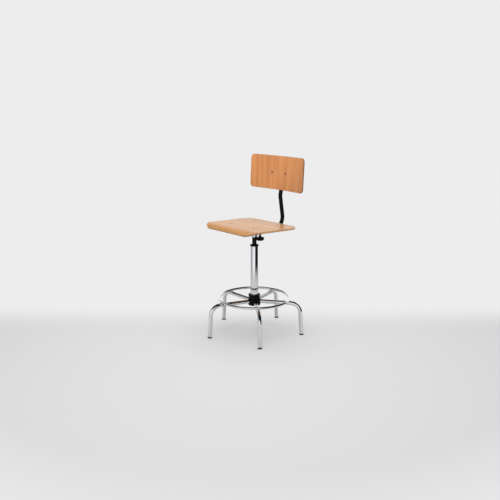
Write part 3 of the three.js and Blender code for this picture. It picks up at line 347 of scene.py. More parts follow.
def sweep(
    path: Sequence[Vector],
    across: Vector,
    section: Outline,
    bore: Outline | None = None,
    closed: bool = False,
    scale: Callable[[float], float] | None = None,
) -> Shape:
    """Carries a section along a path that lies in one plane.

    Args:
        path: The stations of the path.
        across: The direction square to the path's plane, which the section's y follows.
        section: The outer outline.
        bore: The inner outline of a tube, with as many points.
        closed: Whether the path is a ring.
        scale: The section's size at a share of the path, for a bead that tapers.

    Returns:
        The swept solid, capped at its ends.
    """
    shape = Shape()
    outer_rows, bore_rows = [], []
    last = len(path) - 1
    for i, here in enumerate(path):
        before = path[i - 1] if i or closed else here
        after = path[(i + 1) % len(path)] if i < last or closed else here
        onward = Vector(((here - before).normalized() + (after - here).normalized())).normalized()
        normal = across.cross(onward).normalized()
        size = scale(i / last) if scale else 1.0
        for outline, rows in ((section, outer_rows), (bore, bore_rows)):
            if outline:
                rows.append(shape.row(here + normal * (p.x * size) + across * (p.y * size) for p in outline))
    for rows in (outer_rows, bore_rows):
        for first, second in zip(rows, rows[1:] + (rows[:1] if closed else [])):
            shape.bridge(first, second)
    if closed:
        return shape
    for end in (0, -1):
        if bore:
            shape.bridge(outer_rows[end], bore_rows[end])
        else:
            shape.faces.append(tuple(outer_rows[end]))
    return shape


def route(corners: Sequence[tuple[Vector, float]], step: float = 3.0) -> list[Vector]:
    """Stations along straight runs joined by bends.

    Args:
        corners: Each corner with its bend radius.
        step: The most degrees between stations in a bend.

    Returns:
        The stations.
    """
    stations = [corners[0][0]]
    for (before, _), (here, radius), (after, _) in zip(corners, corners[1:], corners[2:]):
        inward = (before - here).normalized()
        outward = (after - here).normalized()
        turn = math.pi - inward.angle(outward)
        setback = radius * math.tan(turn / 2)
        centre = here + (inward + outward).normalized() * (radius / math.cos(turn / 2))
        start = here + inward * setback - centre
        axis = start.cross(here + outward * setback - centre).normalized()
        count = max(2, math.ceil(math.degrees(turn) / step))
        stations += [centre + Matrix.Rotation(turn * k / count, 3, axis) @ start for k in range(count + 1)]
    return stations + [corners[-1][0]]


@dataclass(frozen=True)
class Hole:
    """A round hole through a panel: its wall as (radius, depth) steps from the face to the back."""

    x: float
    y: float
    wall: tuple[tuple[float, float], ...]
    sides: int = 48

    def ring(self, step: int) -> Outline:
        """The circle at one step of the wall."""
        return circle(self.wall[step][0], self.sides, self.x, self.y)


def panel(
    outline: Outline,
    thick: float,
    edge: float,
    place: Placer,
    holes: Sequence[Hole] = (),
    spacing: float | None = None,
    grained: bool = False,
) -> Shape:
    """Builds a sheet or board with rounded edges and round holes.

    Args:
        outline: The full outline, anticlockwise.
        thick: The thickness.
        edge: The radius of the rounded edges.
        place: Puts a point of the board, given as x, y and depth under the face, in space.
        holes: The holes.
        spacing: The distance between points inside the face, for a board that bends.
        grained: Whether the solid carries board coordinates, for wood.

    Returns:
        The closed solid.
    """
    turns = [math.pi / 2 * k / 5 for k in range(6)]
    wall = [(edge * (1 - math.sin(a)), edge * (1 - math.cos(a))) for a in turns]
    wall += [(i, thick - d) for i, d in reversed(wall)]
    shape = Shape()
    rings = []

    def put(points: Iterable[Vector], depth: float) -> list[int]:
        """Adds points of the board at one depth."""
        flat = list(points)
        if grained:
            shape.board += [Vector((p.x, p.y, depth)) for p in flat]
        return shape.row(place(p.x, p.y, depth) for p in flat)

    for distance, depth in wall:
        rings.append(put(inset(outline, distance), depth))
    bores = []
    for hole in holes:
        bores.append([put(hole.ring(k), depth) for k, (_, depth) in enumerate(hole.wall)])
    for rows in [rings, *bores]:
        for first, second in zip(rows, rows[1:]):
            shape.bridge(first, second)
    for side, depth in ((0, 0.0), (-1, thick)):
        loops = [inset(outline, wall[side][0])] + [hole.ring(side) for hole in holes]
        numbers = rings[side] + [i for rows in bores for i in rows[side]]
        inner = grid_within(loops, spacing) if spacing else []
        numbers += put(inner, depth)
        shape.faces += [tuple(numbers[i] for i in face) for face in filled(loops, inner)]
    return shape


def grid_within(loops: list[Outline], spacing: float) -> Outline:
    """Evenly spaced points inside the first loop, clear of it and of the other loops."""
    xs = [p.x for p in loops[0]]
    ys = [p.y for p in loops[0]]
    grid = np.array([
        (x, y)
        for x in np.arange(min(xs) + spacing / 2, max(xs), spacing)
        for y in np.arange(min(ys) + spacing / 2, max(ys), spacing)
    ])
    keep = covers(loops[0], grid)
    for number, loop in enumerate(loops):
        if number:
            keep &= ~covers(loop, grid)
        edge = np.array([(p.x, p.y) for p in loop])
        near = np.sqrt(((grid[:, None, :] - edge[None, :, :]) ** 2).sum(2)).min(1)
        keep &= near > spacing * 0.55
    return [Vector(p) for p in grid[keep]]


def filled(loops: list[Outline], inner: Outline) -> list[tuple[int, ...]]:
    """Triangles that fill the first loop, less the others.

    Args:
        loops: The outline, then the holes.
        inner: Free points between them.

    Returns:
        Triangles, numbered through the loops' points and then the inner ones.
    """
    points, edges, owner = [], [], []
    for number, loop in enumerate(loops):
        start = len(points)
        points += loop
        owner += [number] * len(loop)
        edges += [(start + k, start + (k + 1) % len(loop)) for k in range(len(loop))]
    points += inner
    owner += [-1] * len(inner)
    flat, _, faces, sources, _, _ = delaunay_2d_cdt(points, edges, [], 1, 1e-9)
    original = [source[0] for source in sources]
    middles = np.array([tuple(sum((flat[i] for i in face), Vector((0, 0))) / len(face)) for face in faces])
    inside = covers(loops[0], middles)
    kept = []
    for face, good in zip(faces, inside):
        numbers = tuple(original[i] for i in face)
        owners = {owner[i] for i in numbers}
        if good and not (len(owners) == 1 and owners.pop() > 0):
            kept.append(numbers)
    return kept


# ---- From solids to pieces ----
def mesh_object(name: str, shape: Shape, sharp: float = 32.0) -> bpy.types.Object:
    """Makes a closed, smooth-shaded mesh object of a shape.

    Args:
        name: The object's name.
        shape: The shape.
        sharp: The angle in degrees from which an edge stays crisp.

    Returns:
        The object, linked to the scene.
    """
    mesh = bpy.data.meshes.new(name)
    mesh.from_pydata(shape.points, [], shape.faces)
    if shape.board:
        attribute = mesh.attributes.new("board", "FLOAT_VECTOR", "POINT")
        attribute.data.foreach_set("vector", [c for p in shape.board for c in p])
    solid = bmesh.new()
    solid.from_mesh(mesh)
    bmesh.ops.recalc_face_normals(solid, faces=solid.faces)
    shade(solid, sharp)
    solid.to_mesh(mesh)
    solid.free()
    piece = bpy.data.objects.new(name, mesh)
    bpy.context.scene.collection.objects.link(piece)
    return piece


def shade(solid: bmesh.types.BMesh, sharp: float) -> None:
    """Shades every face smooth and marks the edges from a sharp angle up as crisp."""
    for face in solid.faces:
        face.smooth = True
    for edge in solid.edges:
        edge.smooth = not (edge.is_manifold and edge.calc_face_angle(0.0) > math.radians(sharp))


def combine(piece: bpy.types.Object, tools: Sequence[Shape], operation: str, sharp: float = 32.0) -> None:
    """Cuts shapes out of a piece, or joins them to it, for good.

    Args:
        piece: The piece that changes.
        tools: The shapes.
        operation: DIFFERENCE or UNION.
        sharp: The angle in degrees from which an edge stays crisp.
    """
    helpers = [mesh_object(f"{piece.name}_tool_{k}", tool) for k, tool in enumerate(tools)]
    for helper in helpers:
        step = piece.modifiers.new("combine", "BOOLEAN")
        step.operation = operation
        step.solver = "EXACT"
        step.object = helper
    graph = bpy.context.evaluated_depsgraph_get()
    made = bpy.data.meshes.new_from_object(piece.evaluated_get(graph))
    piece.modifiers.clear()
    piece.data = made
    for helper in helpers:
        bpy.data.objects.remove(helper)
    solid = bmesh.new()
    solid.from_mesh(made)
    bmesh.ops.remove_doubles(solid, verts=solid.verts, dist=TINY * 20)
    shade(solid, sharp)
    solid.to_mesh(made)
    solid.free()


def fit(piece: bpy.types.Object, body: Body, finish: "Finish", *nodes: str) -> None:
    """Gives a piece its finish and hangs it on its body in place of its nodes.

    Args:
        piece: The piece, already in place.
        body: The body that it moves with.
        finish: Its finish, which names the record's slot.
        nodes: The nodes of the frame that it replaces.
    """
    piece.data.materials.clear()
    piece.data.materials.append(finish.material())
    even = piece.modifiers.new("even_shading", "WEIGHTED_NORMAL")
    even.keep_sharp = True
    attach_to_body(piece, body.value)
    if nodes:
        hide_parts(*nodes)
    log.info("%s on %s: %d faces", piece.name, body.value, len(piece.data.polygons))


def dress(name: str, shape: Shape, body: Body, finish: "Finish", *nodes: str) -> None:
    """Makes a piece of a shape and fits it."""
    fit(mesh_object(name, shape), body, finish, *nodes)


def stand(at: Vector) -> Matrix:
    """Puts a turned solid upright at a point."""
    return Matrix.Translation(at)


def lie(at: Vector, axis: Vector) -> Matrix:
    """Puts a turned solid with its own Z along an axis, at a point."""
    return Matrix.Translation(at) @ UP.rotation_difference(axis).to_matrix().to_4x4()


# ---- Node groups that finishes share ----
class Wiring:
    """Adds and links the nodes of one tree."""

    def __init__(self, tree: bpy.types.NodeTree) -> None:
        """Starts on a tree."""
        self.tree = tree

    def add(self, kind: str, inputs: dict | None = None, **settings: object) -> bpy.types.Node:
        """Adds a node.

        Args:
            kind: The node's type, less the ShaderNode prefix.
            inputs: Values, or sockets to link, by input name or number.
            settings: The node's own properties.

        Returns:
            The node.
        """
        node = self.tree.nodes.new(kind if kind.startswith("Node") else f"ShaderNode{kind}")
        for name, value in settings.items():
            setattr(node, name, value)
        self.feed(node, inputs or {})
        return node

    def feed(self, node: bpy.types.Node, inputs: dict) -> None:
        """Links or sets a node's inputs. A colour of three numbers is taken as opaque."""
        for key, value in inputs.items():
            socket = node.inputs[key]
            if isinstance(value, bpy.types.NodeSocket):
                self.tree.links.new(value, socket)
            elif socket.type == "RGBA":
                socket.default_value = (*value, 1.0)
            else:
                socket.default_value = value

    def maths(self, operation: str, *values: object) -> bpy.types.NodeSocket:
        """The result of one operation on numbers or sockets."""
        node = self.add("Math", dict(enumerate(values)), operation=operation)
        return node.outputs[0]

    def times(self, first: object, second: object) -> bpy.types.NodeSocket:
        """Two numbers multiplied."""
        return self.maths("MULTIPLY", first, second)

    def plus(self, first: object, second: object) -> bpy.types.NodeSocket:
        """Two numbers added."""
        return self.maths("ADD", first, second)

    def minus(self, first: object, second: object) -> bpy.types.NodeSocket:
        """The second number taken from the first."""
        return self.maths("SUBTRACT", first, second)

    def vector(self, operation: str, *values: object) -> bpy.types.NodeSocket:
        """The result of one operation on vectors."""
        node = self.add("VectorMath", dict(enumerate(values)), operation=operation)
        return node.outputs["Value" if operation in ("DOT_PRODUCT", "LENGTH") else "Vector"]

    def noise(
        self, at: object, scale: float, detail: float = 3.0, rough: float = 0.5
    ) -> bpy.types.NodeSocket:
        """Noise from 0 to 1 at a position."""
        inputs = {"Vector": at, "Scale": scale, "Detail": detail, "Roughness": rough}
        return self.add("TexNoise", inputs).outputs[0]

    def spread(self, value: object, low: float, high: float, to_low: float = 0.0) -> bpy.types.NodeSocket:
        """A value stretched smoothly from one range to that from the given low to 1."""
        inputs = {0: value, 1: low, 2: high, 3: to_low, 4: 1.0}
        return self.add("MapRange", inputs, interpolation_type="SMOOTHSTEP").outputs[0]

    def tint(self, share: object, first: object, second: object) -> bpy.types.NodeSocket:
        """Two colours mixed by a share."""
        return self.add("Mix", {0: share, 6: first, 7: second}, data_type="RGBA").outputs[2]


@dataclass(frozen=True)
class SharedEffect:
    """A node group that more than one finish uses, made once."""

    name: str
    inputs: tuple[tuple[str, str, object], ...]
    outputs: tuple[tuple[str, str], ...]

    def group(self) -> bpy.types.NodeTree:
        """The group, built when it is first asked for."""
        made = bpy.data.node_groups.get(self.name)
        if made:
            return made
        made = bpy.data.node_groups.new(self.name, "ShaderNodeTree")
        for label, kind, value in self.inputs:
            socket = made.interface.new_socket(label, in_out="INPUT", socket_type=kind)
            socket.default_value = value
        for label, kind in self.outputs:
            made.interface.new_socket(label, in_out="OUTPUT", socket_type=kind)
        wires = Wiring(made)
        entry = wires.add("NodeGroupInput")
        leaving = wires.add("NodeGroupOutput")
        for label, socket in self.wire(wires, entry.outputs).items():
            made.links.new(socket, leaving.inputs[label])
        return made

    def wire(self, wires: Wiring, given: bpy.types.NodeOutputs) -> dict[str, bpy.types.NodeSocket]:
        """Wires the group between its inputs and the sockets it gives back by output name."""
        raise NotImplementedError

    def place(self, wires: Wiring, **values: object) -> bpy.types.NodeOutputs:
        """Puts the group in a material with its own values, and returns its outputs."""
        node = wires.add("Group", node_tree=self.group())
        wires.feed(node, {label.capitalize(): value for label, value in values.items()})
        return node.outputs


FLOAT, VECTOR, COLOUR = "NodeSocketFloat", "NodeSocketVector", "NodeSocketColor"


class BeechVeneer(SharedEffect):
    """Rotary-cut beech on a board's own coordinates: tone, growth lines, flecks, pores and glued plies."""

    def wire(self, wires: Wiring, given: bpy.types.NodeOutputs) -> dict[str, bpy.types.NodeSocket]:
        """Wires the veneer."""
        parts = wires.add("SeparateXYZ", {0: given["Board"]}).outputs
        across, along, depth = parts[0], parts[1], parts[2]
        drift = wires.noise(stretched(wires, across, along, 5.0, 1.6), 1.0, 2.0)
        lazy = wires.times(wires.minus(drift, 0.5), 0.05)
        bent = wires.plus(across, lazy)
        broad = wires.noise(stretched(wires, bent, along, 26.0, 1.2), 1.0, 3.0, 0.55)
        lines = wires.noise(stretched(wires, bent, along, 210.0, 2.2), 1.0, 4.0, 0.6)
        hairs = wires.noise(stretched(wires, bent, along, 1500.0, 14.0), 1.0, 2.0, 0.5)
        tone = wires.plus(wires.times(broad, 0.55), wires.times(lines, 0.45))
        tone = wires.plus(tone, wires.times(wires.minus(hairs, 0.5), 0.16))
        cells = wires.add(
            "TexVoronoi",
            {"Vector": stretched(wires, across, along, 620.0, 95.0), "Scale": 1.0, "Randomness": 1.0},
        )
        rare = wires.add("SeparateColor", {0: cells.outputs["Color"]}).outputs[0]
        fleck = wires.times(wires.spread(cells.outputs["Distance"], 0.34, 0.12),
                            wires.spread(rare, 0.45, 0.75))
        pores = wires.noise(stretched(wires, across, along, 4200.0, 260.0), 1.0, 1.0)
        layer = wires.maths("DIVIDE", depth, given["Ply"])
        wander = wires.noise(stretched(wires, across, along, 30.0, 30.0), 1.0, 1.0)
        layer = wires.plus(layer, wires.times(wires.minus(wander, 0.5), 0.16))
        phase = wires.maths("PINGPONG", layer, 1.0)
        cross = wires.spread(phase, 0.44, 0.56)
        nearest = wires.maths("ABSOLUTE", wires.minus(wires.maths("FRACT", layer), 0.5))
        glue = wires.spread(nearest, 0.44, 0.49)
        under = wires.spread(depth, 0.35 * MM, 0.6 * MM)
        above = wires.minus(given["Thick"], depth)
        edge = wires.times(under, wires.spread(above, 0.35 * MM, 0.6 * MM))
        return {"Tone": tone, "Fleck": fleck, "Pores": pores, "Edge": edge, "Cross ply": cross, "Glue": glue}


def stretched(wires: Wiring, x: object, y: object, x_scale: float, y_scale: float) -> bpy.types.NodeSocket:
    """A position on the board, scaled by itself each way."""
    inputs = {0: wires.times(x, x_scale), 1: wires.times(y, y_scale)}
    return wires.add("CombineXYZ", inputs).outputs[0]


class EdgeWear(SharedEffect):
    """A mask of the outer edges of a piece, broken up by noise."""

    def wire(self, wires: Wiring, given: bpy.types.NodeOutputs) -> dict[str, bpy.types.NodeSocket]:
        """Wires the mask."""
        soft = wires.add("Bevel", {"Radius": given["Width"]}, samples=4).outputs[0]
        true = wires.add("NewGeometry").outputs["Normal"]
        off = wires.minus(1.0, wires.vector("DOT_PRODUCT", soft, true))
        spots = wires.noise(wires.add("TexCoord").outputs["Object"], 260.0, 3.0, 0.6)
        mask = wires.times(wires.spread(off, 0.02, 0.16), wires.spread(spots, 0.4, 0.62))
        return {"Mask": wires.times(mask, given["Amount"])}


class Handling(SharedEffect):
    """Faint smears and hairline scratches that vary a gloss, with a height for the scratches."""

    def wire(self, wires: Wiring, given: bpy.types.NodeOutputs) -> dict[str, bpy.types.NodeSocket]:
        """Wires the smears and scratches."""
        at = wires.add("TexCoord").outputs["Object"]
        smear = wires.noise(at, 14.0, 4.0, 0.62)
        fine = wires.noise(at, 95.0, 3.0, 0.55)
        both = wires.plus(wires.times(smear, 0.7), wires.times(fine, 0.3))
        lines = wires.noise(wires.vector("MULTIPLY", at, (900.0, 900.0, 60.0)), 1.0, 1.0)
        scratch = wires.spread(lines, 0.66, 0.72)
        span = wires.times(wires.minus(both, 0.5), given["Variation"])
        gloss = wires.plus(given["Roughness"], wires.plus(span, wires.times(scratch, 0.04)))
        return {"Roughness": wires.maths("MAXIMUM", gloss, 0.02), "Scratch": scratch}


class SettledDust(SharedEffect):
    """A thin mask of dust on faces that look up."""

    def wire(self, wires: Wiring, given: bpy.types.NodeOutputs) -> dict[str, bpy.types.NodeSocket]:
        """Wires the mask."""
        normal = wires.add("NewGeometry").outputs["Normal"]
        upward = wires.spread(wires.add("SeparateXYZ", {0: normal}).outputs[2], 0.55, 1.0)
        at = wires.add("TexCoord").outputs["Object"]
        patches = wires.spread(wires.noise(at, 70.0, 5.0, 0.7), 0.35, 0.8)
        return {"Mask": wires.times(wires.times(upward, patches), given["Amount"])}


class MouldedSkin(SharedEffect):
    """The fine orange peel of a painted or moulded surface, as a height."""

    def wire(self, wires: Wiring, given: bpy.types.NodeOutputs) -> dict[str, bpy.types.NodeSocket]:
        """Wires the height."""
        at = wires.add("TexCoord").outputs["Object"]
        peel = wires.add("TexNoise", {"Vector": at, "Scale": given["Scale"], "Detail": 2.0}).outputs[0]
        finer = wires.times(given["Scale"], 3.1)
        sparkle = wires.add("TexNoise", {"Vector": at, "Scale": finer, "Detail": 1.0}).outputs[0]
        return {"Height": wires.plus(wires.times(peel, 0.7), wires.times(sparkle, 0.3))}


VENEER = BeechVeneer(
    "beech_veneer",
    (("Board", VECTOR, (0.0, 0.0, 0.0)), ("Ply", FLOAT, 1.4 * MM), ("Thick", FLOAT, 11 * MM)),
    tuple((label, FLOAT) for label in ("Tone", "Fleck", "Pores", "Edge", "Cross ply", "Glue")),
)
EDGE_WEAR = EdgeWear("edge_wear", (("Width", FLOAT, 0.8 * MM), ("Amount", FLOAT, 0.5)), (("Mask", FLOAT),))
HANDLING = Handling(
    "handling",
    (("Roughness", FLOAT, 0.1), ("Variation", FLOAT, 0.1)),
    (("Roughness", FLOAT), ("Scratch", FLOAT)),
)
DUST = SettledDust("settled_dust", (("Amount", FLOAT, 0.3),), (("Mask", FLOAT),))
SKIN = MouldedSkin("moulded_skin", (("Scale", FLOAT, 600.0),), (("Height", FLOAT),))


# ---- Finishes ----
Colour = tuple[float, float, float]


@dataclass(frozen=True)
class Finish:
    """A finish by name, and the record's slot that it stands for. Its material is made once."""

    name: str
    slot: Slot

    def material(self) -> bpy.types.Material:
        """The material, wired when it is first asked for."""
        made = bpy.data.materials.get(self.name)
        if made:
            return made
        made = bpy.data.materials.new(self.name)
        made.use_nodes = True
        tree = made.node_tree
        shader = tree.nodes["Principled BSDF"]
        self.wire(Wiring(tree), shader)
        return made

    def wire(self, wires: Wiring, shader: bpy.types.Node) -> None:
        """Wires the finish into its shader."""
        raise NotImplementedError


def attach(
    wires: Wiring, shader: bpy.types.Node, height: bpy.types.NodeSocket, depth: float, strength: float
) -> None:
    """Feeds a height into the shader's normal, as a bump of a real depth."""
    inputs = {"Height": height, "Distance": depth, "Strength": strength}
    wires.feed(shader, {"Normal": wires.add("Bump", inputs).outputs[0]})


@dataclass(frozen=True)
class Beech(Finish):
    """Lacquered beech plywood, with its plies on the edges."""

    light: Colour = (0.72, 0.37, 0.14)
    dark: Colour = (0.53, 0.24, 0.08)
    fleck: Colour = (0.33, 0.15, 0.07)
    edge_light: Colour = (0.66, 0.4, 0.21)
    edge_dark: Colour = (0.42, 0.225, 0.11)
    grain: Grain = Grain.LENGTHWISE
    thick: float = 11 * MM
    plies: int = 9
    fleck_share: float = 0.4
    roughness: float = 0.36
    coat: float = 0.22

    def wire(self, wires: Wiring, shader: bpy.types.Node) -> None:
        """Wires the veneer's tones, flecks and plies, and a satin lacquer."""
        board = wires.add("Attribute", attribute_name="board").outputs["Vector"]
        if self.grain is Grain.CROSSWISE:
            parts = wires.add("SeparateXYZ", {0: board}).outputs
            board = wires.add("CombineXYZ", {0: parts[1], 1: parts[0], 2: parts[2]}).outputs[0]
        veneer = VENEER.place(wires, board=board, ply=self.thick / self.plies, thick=self.thick)
        tone = wires.spread(veneer["Tone"], 0.36, 0.66)
        colour = wires.tint(tone, self.light, self.dark)
        flecks = wires.times(veneer["Fleck"], self.fleck_share)
        colour = wires.tint(flecks, colour, self.fleck)
        plies = wires.tint(veneer["Cross ply"], self.edge_light, self.edge_dark)
        plies = wires.tint(wires.times(veneer["Glue"], 0.6), plies, self.fleck)
        plies = wires.tint(wires.times(tone, 0.25), plies, self.dark)
        colour = wires.tint(veneer["Edge"], colour, plies)
        hand = HANDLING.place(wires, roughness=self.roughness, variation=0.16)
        gloss = wires.plus(hand["Roughness"], wires.times(veneer["Edge"], 0.15))
        gloss = wires.plus(gloss, wires.times(veneer["Fleck"], 0.05))
        lacquer = {"Coat Weight": self.coat, "Coat Roughness": 0.22, "Specular IOR Level": 0.4}
        wires.feed(shader, {"Base Color": colour, "Roughness": gloss, **lacquer})
        relief = wires.minus(veneer["Pores"], wires.times(veneer["Fleck"], 0.8))
        relief = wires.minus(relief, wires.times(veneer["Edge"], veneer["Cross ply"]))
        attach(wires, shader, relief, 0.05 * MM, 0.35)


@dataclass(frozen=True)
class Plated(Finish):
    """Bright metal plating with faint handling marks and a little dust."""

    colour: Colour = (0.83, 0.84, 0.86)
    roughness: float = 0.05
    variation: float = 0.06
    dust: float = 0.1
    worn: Colour | None = None

    def wire(self, wires: Wiring, shader: bpy.types.Node) -> None:
        """Wires the plating."""
        hand = HANDLING.place(wires, roughness=self.roughness, variation=self.variation)
        dust = DUST.place(wires, amount=self.dust)["Mask"]
        film = wires.noise(wires.add("TexCoord").outputs["Object"], 33.0, 4.0)
        darker = tuple(c * 0.9 for c in self.colour)
        colour = wires.tint(film, self.colour, darker)
        if self.worn:
            wear = EDGE_WEAR.place(wires, width=0.5 * MM, amount=0.7)["Mask"]
            colour = wires.tint(wear, colour, self.worn)
        gloss = wires.plus(hand["Roughness"], wires.times(dust, 0.5))
        wires.feed(shader, {"Base Color": colour, "Roughness": gloss, "Metallic": 1.0})
        attach(wires, shader, hand["Scratch"], -0.01 * MM, 0.25)


@dataclass(frozen=True)
class Skinned(Finish):
    """A coloured skin over metal or all through a moulding: orange peel, worn edges and dust."""

    colour: Colour = (0.006, 0.006, 0.0065)
    worn: Colour = (0.03, 0.03, 0.031)
    roughness: float = 0.35
    peel_scale: float = 700.0
    peel_depth: float = 0.03 * MM
    wear: float = 0.4
    dust: float = 0.05
    coat: float = 0.0
    specular: float = 0.07

    def wire(self, wires: Wiring, shader: bpy.types.Node) -> None:
        """Wires the skin."""
        hand = HANDLING.place(wires, roughness=self.roughness, variation=0.18)
        wear = EDGE_WEAR.place(wires, width=0.7 * MM, amount=self.wear)["Mask"]
        dust = DUST.place(wires, amount=self.dust)["Mask"]
        colour = wires.tint(wear, self.colour, self.worn)
        colour = wires.tint(dust, colour, (0.22, 0.21, 0.2))
        gloss = wires.plus(hand["Roughness"], wires.times(dust, 0.4))
        coat = {"Coat Weight": self.coat, "Coat Roughness": 0.15, "Specular IOR Level": self.specular}
        wires.feed(shader, {"Base Color": colour, "Roughness": gloss, **coat})
        skin = SKIN.place(wires, scale=self.peel_scale)["Height"]
        attach(wires, shader, skin, self.peel_depth, 0.5)


SEAT_BEECH = Beech("lacquered_seat_beech", Slot.SEAT_BEECH, grain=Grain.CROSSWISE)
BACK_BEECH = Beech(
    "lacquered_back_beech", Slot.BACK_BEECH,
    light=(0.7, 0.315, 0.115),
    dark=(0.52, 0.195, 0.065),
    edge_light=(0.42, 0.22, 0.11),
    edge_dark=(0.22, 0.1, 0.05),
    thick=10 * MM,
    plies=7,
)
CHROME = Plated("chrome_plate", Slot.CHROME)
ZINC = Plated(
    "bright_zinc", Slot.ZINC, colour=(0.66, 0.67, 0.69), roughness=0.28, variation=0.16, worn=(0.8, 0.8, 0.81)
)
BRASS = Plated(
    "turned_brass", Slot.BRASS, colour=(0.72, 0.52, 0.2), roughness=0.3, variation=0.14,
    worn=(0.85, 0.68, 0.34),
)
# Rivet plating whose dark colour is painted shade: it stands in for the shade inside the rivets' cupped heads.
PAINTED_SHADE_RIVET = Plated(
    "aged_rivet_plate", Slot.ZINC, colour=(0.4, 0.36, 0.31), roughness=0.25, variation=0.16,
    worn=(0.8, 0.79, 0.76),
)
STEEL = Plated("bearing_steel", Slot.ZINC, colour=(0.56, 0.57, 0.58), roughness=0.16, variation=0.1, dust=0.0)
BLACK_PAINT = Skinned("black_stove_enamel", Slot.BLACK_STEEL, coat=0.03)
CYLINDER_PAINT = Skinned(
    "black_cylinder_paint", Slot.BLACK_STEEL, roughness=0.24, coat=0.08, peel_depth=0.015 * MM, wear=0.25
)
BLACK_MOULDING = Skinned(
    "black_moulding", Slot.BLACK_PLASTIC,
    colour=(0.008, 0.008, 0.0085),
    worn=(0.035, 0.035, 0.035),
    roughness=0.46,
    peel_scale=1400.0,
    peel_depth=0.05 * MM,
    wear=0.35,
)
RUBBER = Skinned(
    "black_rubber",
    Slot.BLACK_PLASTIC,
    colour=(0.014, 0.014, 0.014),
    worn=(0.07, 0.068, 0.065),
    roughness=0.7,
    wear=0.8,
    dust=0.3,
)
NYLON = Skinned(
    "natural_nylon", Slot.NYLON,
    colour=(0.66, 0.63, 0.55),
    worn=(0.72, 0.7, 0.64),
    roughness=0.5,
    peel_depth=0.02 * MM,
    wear=0.3,
    dust=0.0,
    specular=0.5,
)


# ---- Rivets and threads, which several sub-assemblies use ----
@dataclass(frozen=True)
class TubularRivet:
    """A hollow rivet: a cupped head sunk in the wood, a shank, and a tail rolled over behind."""

    head_radius: float = 7.5 * MM
    head_thick: float = 1.4 * MM
    shank_radius: float = 4.2 * MM
    bore_radius: float = 2.8 * MM
    tail_radius: float = 6.0 * MM
    tail_thick: float = 1.2 * MM
    sink: float = 0.8 * MM

    def shape(self, under: float) -> Shape:
        """The rivet, with the wood's face at height 0 and its tail closed at a depth."""
        top = -self.sink
        tail = under - self.tail_thick
        profile = rounded([
            (self.bore_radius, tail, 0.35 * MM), (self.tail_radius, tail, 0.5 * MM),
            (self.tail_radius, under, 0.3 * MM), (self.shank_radius, under),
            (self.shank_radius, top - self.head_thick),
            (self.head_radius, top - self.head_thick, 0.3 * MM), (self.head_radius, top, 0.6 * MM),
            (self.head_radius - 1.9 * MM, top, 0.7 * MM),
            (self.bore_radius + 0.9 * MM, top - 0.9 * MM, 0.8 * MM),
            (self.bore_radius, top - 2.6 * MM, 1.2 * MM),
        ], step=18)
        return lathe(profile, 64)

    def hole(self, x: float, y: float, through: float) -> Hole:
        """The hole that the rivet needs in a board: a recess for its head and a bore for its shank."""
        recess = self.head_radius + PLAY
        floor = self.sink + self.head_thick + PLAY
        shank = self.shank_radius + PLAY
        wall = (
            (recess + 0.35 * MM, 0.0), (recess + 0.1 * MM, 0.1 * MM), (recess, 0.35 * MM),
            (recess, floor), (shank, floor), (shank, through),
        )
        return Hole(x, y, wall)


def threaded(radius: float, length: float, pitch: float, sides: int = 24) -> Shape:
    """A threaded rod along Z from 0, with a real helix.

    Args:
        radius: The outer radius.
        length: The length.
        pitch: The rise of one turn.
        sides: Steps round; the thread rises a little at each.

    Returns:
        The rod, with its ends run out to the core.
    """
    depth = 0.6 * pitch
    rows = []
    shape = Shape()
    steps = max(8, round(length / pitch * 8))
    rows.append(shape.row([Vector((0, 0, 0))]) * sides)
    for k in range(steps + 1):
        height = length * k / steps
        ends = min(1.0, height / pitch, (length - height) / pitch)
        ring = []
        for s in range(sides):
            angle = 2 * math.pi * s / sides
            phase = (height / pitch - s / sides) % 1.0
            crest = min(1.0, 2.4 * abs(phase - 0.5))
            r = radius - depth * (1.0 - crest * ends)
            ring.append(Vector((r * math.cos(angle), r * math.sin(angle), height)))
        rows.append(shape.row(ring))
    rows.append(shape.row([Vector((0, 0, length))]) * sides)
    for first, second in zip(rows, rows[1:]):
        shape.bridge(first, second)
    return shape


def flats(across: float, count: int = 6) -> Callable[[float], float]:
    """The trim of a turned piece that has flats this far apart."""
    turn = 2 * math.pi / count

    def limit(angle: float) -> float:
        """The radius to the nearest flat."""
        off = (angle + turn / 2) % turn - turn / 2
        return across / 2 / math.cos(off)

    return limit


